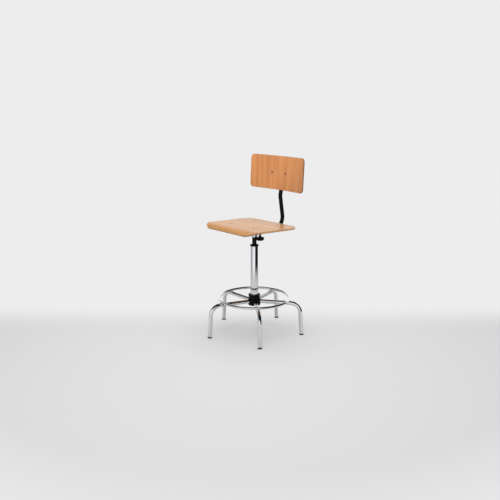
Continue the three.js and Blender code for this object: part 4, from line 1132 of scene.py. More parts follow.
# ---- Base ----
@dataclass
class FootBase:
    """The hub, five bent legs with their glides, and the footrest ring."""

    leg_wall: float = 1.5 * MM
    bend_radius: float = 62 * MM
    splay: float = math.radians(3.5)
    first_leg: float = math.pi
    legs: int = 5
    hub_lip: float = 2.5 * MM
    boss_proud: float = 4 * MM
    boss_wall: float = 3.5 * MM
    ring_wall: float = 1.5 * MM
    glide_stem: float = 22 * MM
    axis: Vector = field(init=False)

    def __post_init__(self) -> None:
        """Takes the places of the legs from the frame."""
        column = Extent.of("column_tube")
        leg = Extent.of("leg_1")
        self.axis = Vector((column.centre.x, column.centre.y, 0.0))
        self.column_radius = column.size.x / 2
        self.leg_radius = leg.size.y / 2
        self.leg_height = leg.high.z - self.leg_radius
        self.leg_start = self.axis.x - leg.high.x
        self.leg_end = leg.low.z
        self.foot_radius = self.axis.x - Extent.of("glide_1").centre.x

    def spoke(self, number: int) -> Matrix:
        """Turns a leg made along +X into the place of that number, about the column."""
        angle = self.first_leg + 2 * math.pi * number / self.legs
        return Matrix.Translation(self.axis) @ Matrix.Rotation(angle, 4, "Z")

    def foot_at(self, height: float) -> Vector:
        """The centre of the leg's lower run at a height."""
        return Vector((self.foot_radius - height * math.tan(self.splay), 0.0, height))

    def build(self) -> None:
        """Builds every piece of the base."""
        self.build_hub()
        self.build_ring()
        for number in range(self.legs):
            self.build_leg(number)
            self.build_glide(number)

    def build_leg(self, number: int) -> None:
        """Builds one bent tube."""
        end = self.leg_end + self.leg_radius * math.sin(self.splay)
        corners = [
            (Vector((self.leg_start, 0, self.leg_height)), 0.0),
            (self.foot_at(self.leg_height), self.bend_radius),
            (self.foot_at(end), 0.0),
        ]
        tube = sweep(
            route(corners, 2.5),
            BACKWARD,
            circle(self.leg_radius, 56),
            circle(self.leg_radius - self.leg_wall, 56),
        )
        name = f"leg_{number + 1}"
        dress(f"{name}_tube", tube.moved(self.spoke(number)), Body.BASE, CHROME, name)

    def build_glide(self, number: int) -> None:
        """Builds one foot: a soft-edged head under the tube and a ribbed stem inside it."""
        name = f"glide_{number + 1}"
        head = Extent.of("glide_1")
        radius = head.size.y / 2 - 0.1 * MM
        height = 8 * MM
        profile = rounded([
            (0, 0), (radius - 3 * MM, 0), (radius, 0.8 * MM, 1.6 * MM), (radius, height, 1.1 * MM),
            (self.leg_radius - 1.5 * MM, height + 0.15 * MM),
            (self.leg_radius - 2.2 * MM, height - 1.5 * MM), (0, height - 1.5 * MM),
        ], closed=False, step=12)
        solid = lathe(profile, 64).moved(Matrix.Translation((self.foot_radius, 0, 0)))
        stem_radius = self.leg_radius - self.leg_wall - 0.5 * MM
        ribs = [(0, 0)]
        rib = 3.2 * MM
        for k in range(int(self.glide_stem / rib)):
            ribs.append((stem_radius - 0.9 * MM, k * rib))
            ribs.append((stem_radius - 0.9 * MM, (k + 0.5) * rib))
            ribs.append((stem_radius, (k + 0.6) * rib))
            ribs.append((stem_radius - 0.9 * MM, (k + 1) * rib))
        ribs.append((0, int(self.glide_stem / rib) * rib))
        root = self.foot_at(height - 2 * MM)
        lean = Matrix.Translation(root) @ Matrix.Rotation(-self.splay, 4, "Y")
        solid.add(lathe(rounded(ribs, closed=False), 48).moved(lean))
        dress(f"{name}_foot", solid.moved(self.spoke(number)), Body.BASE, RUBBER, name)

    def build_ring(self) -> None:
        """Builds the footrest, bent from one tube and welded to each leg that it rests on."""
        box = Extent.of("footrest_ring")
        tube = box.size.z / 2
        radius = box.size.y / 2 - tube
        height = box.centre.z
        stations = 240
        path = [
            Vector((radius * math.cos(a), radius * math.sin(a), height))
            for a in (2 * math.pi * k / stations for k in range(stations))
        ]
        ring = sweep(path, UP, circle(tube, 32), circle(tube - self.ring_wall, 32), closed=True)
        piece = mesh_object("footrest_ring_tube", ring.moved(Matrix.Translation(self.axis)))
        fit(piece, Body.BASE, CHROME, "footrest_ring")
        welds = Shape()
        for number in range(self.legs):
            for side in (-1, 1):
                welds.add(self.weld(radius + side * tube * 0.62, tube, height).moved(self.spoke(number)))
        dress("ring_welds", welds, Body.BASE, CHROME)

    def weld(self, radius: float, tube: float, height: float) -> Shape:
        """A bead in the crevice between the ring and the top of a leg, on one side of the ring."""
        steps = 24
        half_length = 7.5 * MM
        path = []
        for k in range(steps + 1):
            share = 2 * k / steps - 1
            off = half_length * share
            top = math.sqrt(self.leg_radius**2 - off**2) + self.leg_height
            path.append(Vector((radius, off, (top + height - tube * 0.78) / 2)))

        def swell(share: float) -> float:
            """The bead's size along its run: thin at both ends, and rippled."""
            body = math.sqrt(max(0.0, 1 - (2 * share - 1) ** 2))
            return max(0.04, body) * (1 + 0.12 * math.sin(38 * share))

        return sweep(path, ACROSS, circle(1.9 * MM, 16), scale=swell)

    def build_hub(self) -> None:
        """Builds the hub: a spool with a boss for each leg, bored for the column and the legs."""
        box = Extent.of("hub")
        low, high = box.low.z, box.high.z
        boss_face = self.axis.x - box.low.x
        body_radius = boss_face - self.boss_proud
        lip = body_radius + self.hub_lip
        flange = 6 * MM
        neck = 2 * MM
        bore = self.column_radius + PLAY
        floor = low + 8 * MM
        profile = rounded([
            (body_radius / 2, low, 0.8 * MM), (lip, low, 1.8 * MM), (lip, low + flange, 0.9 * MM),
            (body_radius, low + flange + neck, 2.2 * MM),
            (body_radius, high - flange - neck, 2.2 * MM), (lip, high - flange, 0.9 * MM),
            (lip, high, 1.8 * MM), (bore, high, 0.7 * MM), (bore, floor), (body_radius / 2, floor),
        ], step=15)
        here = Matrix.Translation(self.axis)
        hub = mesh_object("hub_casting", lathe(profile, 96).moved(here))
        boss_radius = self.leg_radius + self.boss_wall
        bosses, sockets = [], []
        for number in range(self.legs):
            turn = self.spoke(number) @ lie(Vector((0, 0, self.leg_height)), ACROSS)
            boss = rod(boss_radius, self.column_radius + 3 * MM, boss_face, 56, head=1.2 * MM)
            bosses.append(boss.moved(turn))
            radius = self.leg_radius + PLAY
            sockets.append(rod(radius, self.leg_start - PLAY, boss_face + 5 * MM, 56).moved(turn))
        combine(hub, bosses, "UNION")
        combine(hub, sockets, "DIFFERENCE")
        fit(hub, Body.BASE, BLACK_PAINT, "hub")
        beads = Shape()
        for number in range(self.legs):
            turn = self.spoke(number) @ lie(Vector((boss_face, 0, self.leg_height)), ACROSS)
            beads.add(self.socket_bead().moved(turn))
        dress("leg_welds", beads, Body.BASE, BLACK_PAINT)

    def socket_bead(self) -> Shape:
        """The ring of weld where a leg enters its boss, rippled along its run."""
        stations = 72
        ripple = 0.18 * MM
        path = []
        for k in range(stations):
            angle = 2 * math.pi * k / stations
            radius = self.leg_radius + 0.9 * MM + ripple * math.sin(24 * angle)
            path.append(Vector((radius * math.cos(angle), radius * math.sin(angle), 0.0)))
        return sweep(path, UP, circle(1.3 * MM, 14), closed=True)


# ---- Column and gas lift ----
@dataclass
class GasLift:
    """The column tube with its bush, and the cylinder, rod and bearing inside it."""

    column_wall: float = 1.5 * MM
    bush_sleeve: float = 70 * MM
    cylinder_wall: float = 2 * MM
    cap: float = 12 * MM
    taper_length: float = 30 * MM
    taper_drop: float = 0.8 * MM
    rod_radius: float = 5 * MM
    balls: int = 10

    def build(self) -> None:
        """Builds every piece of the column and the lift."""
        self.axis = Extent.of("column_tube").centre
        self.axis.z = 0.0
        self.build_column()
        self.build_bush()
        self.build_cylinder()
        self.build_socket()
        self.build_rod()
        self.build_bearing()

    def turn(self, name: str, corners: Corners, body: Body, finish: Finish, node: str, sides: int,
             closed: bool = True) -> None:
        """Turns one piece about the column's axis and fits it."""
        solid = lathe(rounded(corners, closed), sides).moved(stand(self.axis))
        dress(name, solid, body, finish, node)

    def build_column(self) -> None:
        """Builds the chromed tube and the plate that closes its foot."""
        box = Extent.of("column_tube")
        radius = box.size.x / 2
        bore = radius - self.column_wall
        tube = collar(bore, radius, box, 0.4, 0.5, 0.6, 0.4)
        self.turn("column", tube, Body.BASE, CHROME, "column_tube", 128)
        plate = Extent.of("column_floor")
        disc = collar(self.rod_radius + PLAY, plate.size.x / 2, plate, 0.4, 0.5, 0.5, 0.4)
        self.turn("column_floor_plate", disc, Body.BASE, ZINC, "column_floor", 72)

    def build_bush(self) -> None:
        """Builds the guide bush: a flange on the column's end and a sleeve inside it."""
        box = Extent.of("guide_bush")
        column = Extent.of("column_tube")
        seat = column.high.z + PLAY
        sleeve = column.size.x / 2 - self.column_wall - PLAY
        bore = Extent.of("gas_cylinder").size.x / 2 + PLAY
        flange = box.size.x / 2
        self.turn("guide_bush_moulding", [
            (bore, seat - self.bush_sleeve, 0.5 * MM), (sleeve, seat - self.bush_sleeve, 1.2 * MM),
            (sleeve, seat), (flange, seat, 0.9 * MM), (flange, box.high.z - 1.2 * MM, 1.6 * MM),
            (flange - 5 * MM, box.high.z, 2 * MM), (bore, box.high.z, 0.8 * MM),
        ], Body.BASE, BLACK_MOULDING, "guide_bush", 96)

    def build_cylinder(self) -> None:
        """Builds the black pressure cylinder with its tapered top."""
        box = Extent.of("gas_cylinder")
        radius = box.size.x / 2
        bore = radius - self.cylinder_wall
        pin_bore = Extent.of("valve_pin").size.x / 2 + PLAY
        rod_bore = self.rod_radius + PLAY
        low, high = box.low.z, box.high.z
        self.turn("gas_cylinder_tube", [
            (rod_bore, low, 0.4 * MM), (radius, low, 2 * MM),
            (radius, high - self.taper_length, 3 * MM), (radius - self.taper_drop, high, 0.8 * MM),
            (pin_bore, high, 0.4 * MM), (pin_bore, high - self.cap), (bore, high - self.cap),
            (bore, low + self.cap), (rod_bore, low + self.cap),
        ], Body.SEAT, CYLINDER_PAINT, "gas_cylinder", 96)

    def build_socket(self) -> None:
        """Builds the bright tapered socket that the cylinder wedges into."""
        box = Extent.of("taper_socket")
        cylinder = Extent.of("gas_cylinder")
        radius = box.size.x / 2
        wide = cylinder.size.x / 2 + PLAY
        self.turn("taper_socket_sleeve", [
            (wide, box.low.z, 0.5 * MM), (radius, box.low.z, 1.3 * MM),
            (radius, box.high.z, 0.8 * MM), (wide - self.taper_drop, box.high.z, 0.4 * MM),
            (wide, cylinder.high.z - self.taper_length),
        ], Body.SEAT, ZINC, "taper_socket", 96)

    def build_rod(self) -> None:
        """Builds the piston rod with its shoulder and piston, and the clip that keeps it in the column."""
        box = Extent.of("piston_rod")
        race = Extent.of("bearing_upper_race")
        shoulder = race.high.z + PLAY
        piston = box.size.x / 2
        head = 12 * MM
        rod = self.rod_radius
        groove = box.high.z - head / 2
        clip = Extent.of("rod_clip")
        self.turn("piston_rod_turned", [
            (0, box.low.z), (rod, box.low.z, 0.8 * MM), (rod, shoulder),
            (rod + 2.5 * MM, shoulder, 0.3 * MM), (rod + 2.5 * MM, shoulder + 5 * MM, 0.6 * MM),
            (rod, shoulder + 5 * MM), (rod, box.high.z - head),
            (piston, box.high.z - head, 0.6 * MM), (piston, groove - 1.5 * MM),
            (piston - 1.6 * MM, groove - 1.5 * MM), (piston - 1.6 * MM, groove + 1.5 * MM),
            (piston, groove + 1.5 * MM), (piston, box.high.z, 0.6 * MM), (0, box.high.z),
        ], Body.SPINDLE, CHROME, "piston_rod", 64, closed=False)
        outer = clip.size.x / 2
        inner = rod + PLAY
        gap = math.radians(35)
        arc = []
        for radius, start, stop in ((outer, gap, 2 * math.pi - gap), (inner, 2 * math.pi - gap, gap)):
            for k in range(41):
                angle = start + (stop - start) * k / 40
                arc.append(Vector((radius * math.cos(angle), radius * math.sin(angle))))
        ring = panel(
            arc, clip.size.z, 0.25 * MM, lambda x, y, d: Vector((x, y, clip.high.z - d)) + self.axis
        )
        dress("rod_retaining_clip", ring, Body.SPINDLE, STEEL, "rod_clip")

    def build_bearing(self) -> None:
        """Builds the thrust bearing: two grooved races, and the cage with its balls."""
        inner = self.rod_radius + PLAY
        cage = Extent.of("bearing_cage")
        ball = (Extent.of("bearing_upper_race").low.z - Extent.of("bearing_lower_race").high.z) / 2
        track = (inner + Extent.of("bearing_upper_race").size.x / 2) / 2
        for name, body in (("bearing_lower_race", Body.BASE), ("bearing_upper_race", Body.SPINDLE)):
            box = Extent.of(name)
            race = collar(inner, box.size.x / 2, box, 0.3, 0.3, 0.3, 0.3)
            self.turn(f"{name}_ring", race, body, STEEL, name, 64)
        self.turn("bearing_cage_ring", [
            (inner + 1.2 * MM, cage.low.z + 1 * MM, 0.4 * MM),
            (cage.size.x / 2, cage.low.z + 1 * MM, 0.4 * MM),
            (cage.size.x / 2, cage.high.z - 1 * MM, 0.4 * MM),
            (inner + 1.2 * MM, cage.high.z - 1 * MM, 0.4 * MM),
        ], Body.BASE, NYLON, "bearing_cage", 64)
        arc = [
            Vector((ball * math.cos(a), ball * math.sin(a)))
            for a in (math.pi * (k / 12 - 0.5) for k in range(13))
        ]
        balls = Shape()
        for k in range(self.balls):
            turn = Matrix.Rotation(2 * math.pi * k / self.balls, 4, "Z")
            at = turn @ Vector((track, 0, cage.centre.z))
            balls.add(lathe(arc, 24).moved(Matrix.Translation(at + self.axis)))
        dress("bearing_balls", balls, Body.BASE, STEEL)


# ---- Seat ----
@dataclass
class Seat:
    """The moulded seat with its rolled front, its four rivets and the plate that they hold."""

    width: float = 460 * MM
    depth: float = 407 * MM
    rear: float = 172 * MM
    thick: float = 11 * MM
    corner_radius: float = 72 * MM
    roll_radius: float = 90 * MM
    roll: float = math.radians(42)
    rivets_x: float = 205 * MM
    rivets_y: float = 200 * MM
    edge: float = 2.2 * MM
    plate: float = 3 * MM
    plate_margin: float = 17 * MM
    plate_spine: float = 120 * MM
    plate_arm: float = 36 * MM
    rivet: TubularRivet = TubularRivet()

    def build(self, face: dict) -> None:
        """Builds the seat on the face that the record states.

        Args:
            face: The record's sitting face, with its point on the column's axis and its normal.
        """
        tilt = math.atan2(face["axis"][1], face["axis"][2])
        self.frame = Matrix.Translation(Vector(face["pos_m"])) @ Matrix.Rotation(-tilt, 4, "X")
        self.build_pan()
        self.build_rivets()
        self.build_plate()

    @property
    def roll_start(self) -> float:
        """Where the flat part ends and the front begins to roll down."""
        return self.rear - self.depth + self.roll_radius * math.sin(self.roll)

    def unrolled(self, y: float) -> float:
        """The distance along the board that stands over a place of the plan."""
        ahead = self.roll_start - y
        if ahead <= 0:
            return y
        return self.roll_start - self.roll_radius * math.asin(min(1.0, ahead / self.roll_radius))

    def place(self, x: float, along: float, depth: float) -> Vector:
        """Puts a point of the unrolled board on the moulded seat."""
        ahead = self.roll_start - along
        if ahead <= 0:
            return self.frame @ Vector((x, along, -depth))
        angle = ahead / self.roll_radius
        reach = self.roll_radius - depth
        y = self.roll_start - reach * math.sin(angle)
        return self.frame @ Vector((x, y, reach * math.cos(angle) - self.roll_radius))

    def spots(self) -> list[tuple[float, float]]:
        """The rivets' places on the plan."""
        signs = (-0.5, 0.5)
        return [(sx * self.rivets_x, sy * self.rivets_y) for sx in signs for sy in signs]

    def build_pan(self) -> None:
        """Builds the plywood: its plan outline drawn out flat, then rolled down at the front."""
        middle = self.rear - self.depth / 2
        plan = rounded(rectangle(self.width / 2, self.depth / 2, self.corner_radius, cy=middle), step=3)
        outline = [Vector((p.x, self.unrolled(p.y))) for p in divided(plan, 4 * MM)]
        holes = [self.rivet.hole(x, y, self.thick) for x, y in self.spots()]
        board = panel(outline, self.thick, self.edge, self.place, holes, 5 * MM, grained=True)
        dress("seat", board, Body.SEAT, SEAT_BEECH, "seat_pan")

    def build_rivets(self) -> None:
        """Builds the four tubular rivets through seat and plate."""
        tail = -(self.thick + PLAY + self.plate + PLAY)
        for number, (x, y) in enumerate(self.spots()):
            name = f"seat_rivet_{number + 1}"
            at = self.frame @ Matrix.Translation((x, y, 0))
            # The rivet finish's dark colour is painted shade for the cupped heads.
            dress(f"{name}_tubular", self.rivet.shape(tail).moved(at), Body.SEAT, PAINTED_SHADE_RIVET, name)

    def build_plate(self) -> None:
        """Builds the pressed steel plate: two cross arms on a broad spine."""
        half_x = self.rivets_x / 2 + self.plate_margin
        half_y = self.rivets_y / 2 + self.plate_margin
        spine = self.plate_spine / 2
        inner = half_y - self.plate_arm
        neck = inner - self.plate_arm / 2
        quarter = [
            (half_x, half_y, self.plate_margin), (-half_x, half_y, self.plate_margin),
            (-half_x, inner, 5 * MM), (-spine, neck, 14 * MM),
        ]
        corners = quarter + [(-x, -y, radius) for x, y, radius in quarter]
        shank = self.rivet.shank_radius + PLAY
        holes = [Hole(x, y, ((shank, 0.0), (shank, self.plate))) for x, y in self.spots()]
        top = self.thick + PLAY
        sheet = panel(
            rounded(corners, step=8),
            self.plate,
            0.7 * MM,
            lambda x, y, d: self.frame @ Vector((x, y, -top - d)),
            holes,
        )
        dress("seat_mounting_plate", sheet, Body.SEAT, BLACK_PAINT, "mounting_plate")


# ---- Mechanism under the seat ----
@dataclass
class Mechanism:
    """The cheeks, the bar's sleeve with its clamp, and the height lever with its bracket and valve pin."""

    sheet: float = 3 * MM
    sleeve_wall: float = 2.3 * MM
    knob_lobes: int = 6
    thread_pitch: float = 1.25 * MM
    crank_x: float = -62 * MM
    crank_run: float = 25 * MM
    crank_radius: float = 14 * MM
    lever_radius: float = 4 * MM
    grip_length: float = 66 * MM

    def build(self) -> None:
        """Builds every piece of the mechanism."""
        self.build_cheeks()
        self.build_sleeve()
        self.build_nut_and_pad()
        self.build_knob()
        self.build_screw()
        self.build_bracket()
        self.build_lever()
        self.build_grip()

    def build_cheeks(self) -> None:
        """Builds the two side plates that carry the sleeve and the socket under the seat's plate."""
        socket = Extent.of("taper_socket")
        lever = Extent.of("lever_pin").centre
        for name in ("cheek_left", "cheek_right"):
            box = Extent.of(name)
            front, rear = box.low.y, box.high.y
            foot = box.low.z
            slope = (self.top_of(name, rear) - self.top_of(name, front)) / (rear - front)
            nose = lever.z - 12 * MM
            corners = [
                (front, nose, 6 * MM), (-socket.size.x / 2, foot + 4 * MM, 8 * MM),
                (-socket.size.x / 2 + 9 * MM, foot, 5 * MM), (rear, foot, 6 * MM),
                (rear, box.high.z + slope * (rear - front), 1 * MM), (front, box.high.z, 1 * MM),
            ]
            outline = rounded(corners, step=8)
            plate = panel(outline, box.size.x, 0.6 * MM, lambda y, z, d, x=box.high.x: Vector((x - d, y, z)))
            piece = mesh_object(f"{name}_plate", plate)
            if name == "cheek_right":
                way = self.lever_radius + 2 * MM
                low = lever.z - self.lever_radius - 5 * MM
                high = lever.z + self.lever_radius + 2 * MM
                slot = rounded(rectangle(way, (high - low) / 2, 3 * MM, cy=(high + low) / 2), step=8)
                cutter = panel(slot, 3 * box.size.x, 0.1 * MM,
                               lambda y, z, d, x=box.high.x + box.size.x: Vector((x - d, y, z)))
                combine(piece, [cutter], "DIFFERENCE")
            fit(piece, Body.SEAT, BLACK_PAINT, name)

    def top_of(self, name: str, y: float) -> float:
        """The height of a cheek's top edge at one of its two ends."""
        points = [v.co for v in bpy.data.objects[name].data.vertices if abs(v.co.y - y) < 0.1 * MM]
        return max(p.z for p in points)

    def build_sleeve(self) -> None:
        """Builds the rectangular sleeve that guides the back bar, with the pad's hole in its floor."""
        box = Extent.of("bar_sleeve")
        size, centre = box.size, box.centre
        outer = rounded(rectangle(size.z / 2, size.x / 2, 3.2 * MM), step=10)
        hollow = rectangle(size.z / 2 - self.sleeve_wall, size.x / 2 - self.sleeve_wall, 1.1 * MM)
        path = [Vector((centre.x, y, centre.z)) for y in (box.low.y, box.high.y)]
        sleeve = sweep(path, ACROSS, outer, rounded(hollow, step=10))
        piece = mesh_object("bar_guide_sleeve", sleeve)
        pad = Extent.of("clamp_pad")
        radius = pad.size.x / 2 + PLAY
        at = Vector((pad.centre.x, pad.centre.y, 0))
        combine(piece, [rod(radius, box.low.z - 1 * MM, centre.z, 48).moved(stand(at))], "DIFFERENCE")
        fit(piece, Body.SEAT, BLACK_PAINT, "bar_sleeve")

    def build_nut_and_pad(self) -> None:
        """Builds the nut under the sleeve and the brass pad that presses on the bar."""
        nut, pad, screw = Extent.of("clamp_nut"), Extent.of("clamp_pad"), Extent.of("clamp_screw")
        at = Vector((nut.centre.x, nut.centre.y, 0))
        bore = screw.size.x / 2 + PLAY
        room = pad.size.x / 2 + PLAY
        profile = rounded([
            (bore, nut.low.z, 0.5 * MM), (nut.size.x / 2, nut.low.z, 1.2 * MM),
            (nut.size.x / 2, nut.high.z, 0.3 * MM), (room, nut.high.z, 0.2 * MM),
            (room, nut.high.z - 3 * MM), (bore, nut.high.z - 3 * MM),
        ])
        dress("clamp_weld_nut", lathe(profile, 72).moved(stand(at)), Body.SEAT, BLACK_PAINT, "clamp_nut")
        disc = rod(pad.size.x / 2, pad.low.z, pad.high.z, 56, 0.3 * MM, 0.4 * MM)
        dress("clamp_pressure_pad", disc.moved(stand(at)), Body.PAD, BRASS, "clamp_pad")

    def build_knob(self) -> None:
        """Builds the lobed hand knob with its neck."""
        box, screw = Extent.of("clamp_knob"), Extent.of("clamp_screw")
        radius = box.size.x / 2
        low, neck_top = box.low.z, box.high.z
        top = neck_top - 10 * MM
        neck = 8 * MM
        bore = screw.size.x / 2 + PLAY
        flute, bite = 9 * MM, 2.5 * MM

        def lobes(angle: float) -> float:
            """The radius to the nearest flute."""
            turn = 2 * math.pi / self.knob_lobes
            off = angle % turn - turn / 2
            reach = radius + flute - bite
            over = flute**2 - (reach * math.sin(off)) ** 2
            return reach * math.cos(off) - math.sqrt(over) if over > 0 else radius + MM

        profile = rounded([
            (0, low + 0.8 * MM), (radius - 13 * MM, low + 0.8 * MM),
            (radius - 11 * MM, low, 1.5 * MM), (radius - 6.5 * MM, low, 3 * MM),
            (radius - 0.6 * MM, low + 5 * MM, 6 * MM), (radius, top - 1 * MM, 2.6 * MM),
            (radius - 5 * MM, top, 2 * MM), (neck + 2.5 * MM, top, 1.6 * MM),
            (neck, top + 2.5 * MM, 3 * MM), (neck, neck_top, 1 * MM), (bore, neck_top, 0.3 * MM),
            (bore, screw.low.z - PLAY), (0, screw.low.z - PLAY),
        ], closed=False, step=10)
        at = Vector((box.centre.x, box.centre.y, 0))
        piece = mesh_object("clamp_hand_knob", lathe(profile, 144, lobes).moved(stand(at)))
        fit(piece, Body.KNOB, BLACK_MOULDING, "clamp_knob")

    def build_screw(self) -> None:
        """Builds the clamp screw with its thread."""
        box = Extent.of("clamp_screw")
        at = Vector((box.centre.x, box.centre.y, box.low.z))
        screw = threaded(box.size.x / 2, box.size.z, self.thread_pitch).moved(stand(at))
        fit(mesh_object("clamp_threaded_screw", screw, 60), Body.KNOB, ZINC, "clamp_screw")

    def build_bracket(self) -> None:
        """Builds the bent bracket that hangs from the plate and the pin across it."""
        box, pin, eye = Extent.of("lever_bracket"), Extent.of("lever_pin"), Extent.of("lever_rod")
        half = box.size.y / 2
        lug = 2.5 * MM
        low, high = box.low.z, box.high.z
        corners = [
            (-half, low, 1.0 * MM), (-half + lug, low, 1.0 * MM),
            (-half + lug, high - lug, 1.2 * MM), (half - lug, high - lug, 1.2 * MM),
            (half - lug, low, 1.0 * MM), (half, low, 1.0 * MM), (half, high, 3.2 * MM),
            (-half, high, 3.2 * MM),
        ]
        outline = rounded(corners, step=10)
        bracket = panel(outline, box.size.x, 0.4 * MM, lambda y, z, d: Vector((box.low.x + d, y, z)))
        dress("lever_pivot_bracket", bracket, Body.SEAT, BLACK_PAINT, "lever_bracket")
        radius, length = pin.size.z / 2, pin.size.y
        turned = rod(radius, -length / 2, length / 2, 48, 0.7 * MM, 0.7 * MM).moved(lie(pin.centre, BACKWARD))
        dress("lever_pivot_pin", turned, Body.SEAT, STEEL, "lever_pin")
        self.eye_radius = eye.high.z - pin.centre.z
        self.pin_radius = radius

    def build_lever(self) -> None:
        """Builds the cranked rod with its eye, and the valve pin that it presses."""
        box, pin, valve = Extent.of("lever_rod"), Extent.of("lever_pin"), Extent.of("valve_pin")
        axis = valve.centre.x
        high = pin.centre.z
        low = box.low.z + self.lever_radius
        corners = [
            (Vector((box.high.x, 0, high)), 0.0),
            (Vector((axis + self.crank_x, 0, high)), self.crank_radius),
            (Vector((axis + self.crank_x - self.crank_run, 0, low)), self.crank_radius),
            (Vector((box.low.x, 0, low)), 0.0),
        ]
        bent = sweep(route(corners, 4), BACKWARD, circle(self.lever_radius, 40))
        lever = mesh_object("height_lever_rod", bent)
        width = box.size.y
        across = lie(pin.centre, BACKWARD)
        eye = rod(self.eye_radius, -width / 2, width / 2, 56, 0.8 * MM, 0.8 * MM)
        combine(lever, [eye.moved(across)], "UNION")
        combine(lever, [rod(self.pin_radius + PLAY, -width, width, 40).moved(across)], "DIFFERENCE")
        fit(lever, Body.LEVER, BLACK_PAINT, "lever_rod")
        button = rod(valve.size.x / 2, valve.low.z, valve.high.z, 48, 0.5 * MM, 1.4 * MM)
        dress("valve_button", button.moved(stand(Vector((axis, 0, 0)))), Body.VALVE, ZINC, "valve_pin")

    def build_grip(self) -> None:
        """Builds the moulded grip, with shallow finger rings."""
        box, rod = Extent.of("lever_grip"), Extent.of("lever_rod")
        radius = box.size.y / 2
        length = box.size.x
        bore = self.lever_radius + PLAY
        end = rod.low.x - box.low.x - PLAY
        corners = [(0, 0), (radius - 1 * MM, 0, 3.5 * MM)]
        rings = 7
        for k in range(rings):
            start = 0.2 * length + 0.6 * length * k / rings
            pitch = 0.6 * length / rings
            corners.append((radius, start, 1.2 * MM))
            corners.append((radius - 0.7 * MM, start + pitch / 2, 1.5 * MM))
        corners += [
            (radius, 0.82 * length, 2 * MM), (radius - 2.5 * MM, length, 1.2 * MM),
            (bore, length, 0.4 * MM), (bore, end), (0, end),
        ]
        at = Vector((box.low.x, box.centre.y, rod.low.z + self.lever_radius))
        grip = lathe(rounded(corners, closed=False), 64).moved(lie(at, ACROSS))
        piece = mesh_object("height_lever_grip", grip, 50)
        fit(piece, Body.LEVER, BLACK_MOULDING, "lever_grip")


# ---- Back bar ----
@dataclass
class BackBar:
    """The bent oval tube that carries the backrest, its cap and the bush of its pivot."""

    wall: float = 2 * MM
    heel_y: float = 259 * MM
    heel_radius: float = 77 * MM
    waist_y: float = 223.3 * MM
    waist_radius: float = 60 * MM
    waist_drop: float = 145 * MM
    neck_drop: float = 81 * MM
    neck_radius: float = 80 * MM
    rise: float = 25 * MM

    def build(self, pivot: Vector) -> None:
        """Builds the bar, its cap and its bush.

        Args:
            pivot: The centre of the backrest's pivot.
        """
        box, sleeve, cap = Extent.of("back_bar"), Extent.of("bar_sleeve"), Extent.of("bar_cap")
        width, thick = cap.size.x, cap.size.y
        middle = box.high.z - self.rise
        x = sleeve.centre.x
        corners = [
            (Vector((x, box.low.y, sleeve.centre.z)), 0.0),
            (Vector((x, self.heel_y, sleeve.centre.z)), self.heel_radius),
            (Vector((x, self.waist_y, middle - self.waist_drop)), self.waist_radius),
            (Vector((x, pivot.y, middle - self.neck_drop)), self.neck_radius),
            (Vector((x, pivot.y, box.high.z)), 0.0),
        ]
        hollow = stadium(width - 2 * self.wall, thick - 2 * self.wall, 16)
        bar = sweep(route(corners, 2.0), ACROSS, stadium(width, thick, 16), hollow)
        piece = mesh_object("back_bar_tube", bar)
        bush = Extent.of("pivot_bush")
        radius = bush.size.z / 2 + PLAY
        combine(piece, [rod(radius, -width, width, 40).moved(lie(pivot, ACROSS))], "DIFFERENCE")
        fit(piece, Body.BAR, BLACK_PAINT, "back_bar")
        self.build_cap(cap, box.high.z)
        self.build_bush(bush, pivot)

    def build_cap(self, cap: Extent, bar_top: float) -> None:
        """Builds the cap over the bar's end, with its stem."""
        width, thick = cap.size.x, cap.size.y
        centre = cap.centre

        def stack(outline: Outline, top: float, bottom: float, edge: float) -> Shape:
            """An oval block between two heights."""
            turned = [Vector((-p.y, p.x)) for p in outline]
            made = panel(turned, top - bottom, edge,
                         lambda x, y, d: Vector((centre.x + x, centre.y + y, top - d)))
            return made

        slack = 2 * (self.wall + PLAY + 0.2 * MM)
        solid = stack(stadium(width, thick, 16), cap.high.z, bar_top + PLAY, 1.2 * MM)
        solid.add(stack(stadium(width - slack, thick - slack, 16), bar_top + 0.5 * MM, cap.low.z, 0.6 * MM))
        dress("bar_end_cap", solid, Body.BAR, BLACK_MOULDING, "bar_cap")

    def build_bush(self, bush: Extent, pivot: Vector) -> None:
        """Builds the nylon bush that the backrest's bolt turns in."""
        half = bush.size.x / 2
        outer = bush.size.z / 2
        bore = Extent.of("pivot_bolt").size.z / 2 - 3 * MM + PLAY
        profile = rounded([
            (bore, -half, 0.3 * MM), (outer, -half, 0.4 * MM), (outer, half, 0.4 * MM),
            (bore, half, 0.3 * MM),
        ])
        dress("pivot_nylon_bush", lathe(profile, 56).moved(lie(pivot, ACROSS)), Body.BAR, NYLON, "pivot_bush")


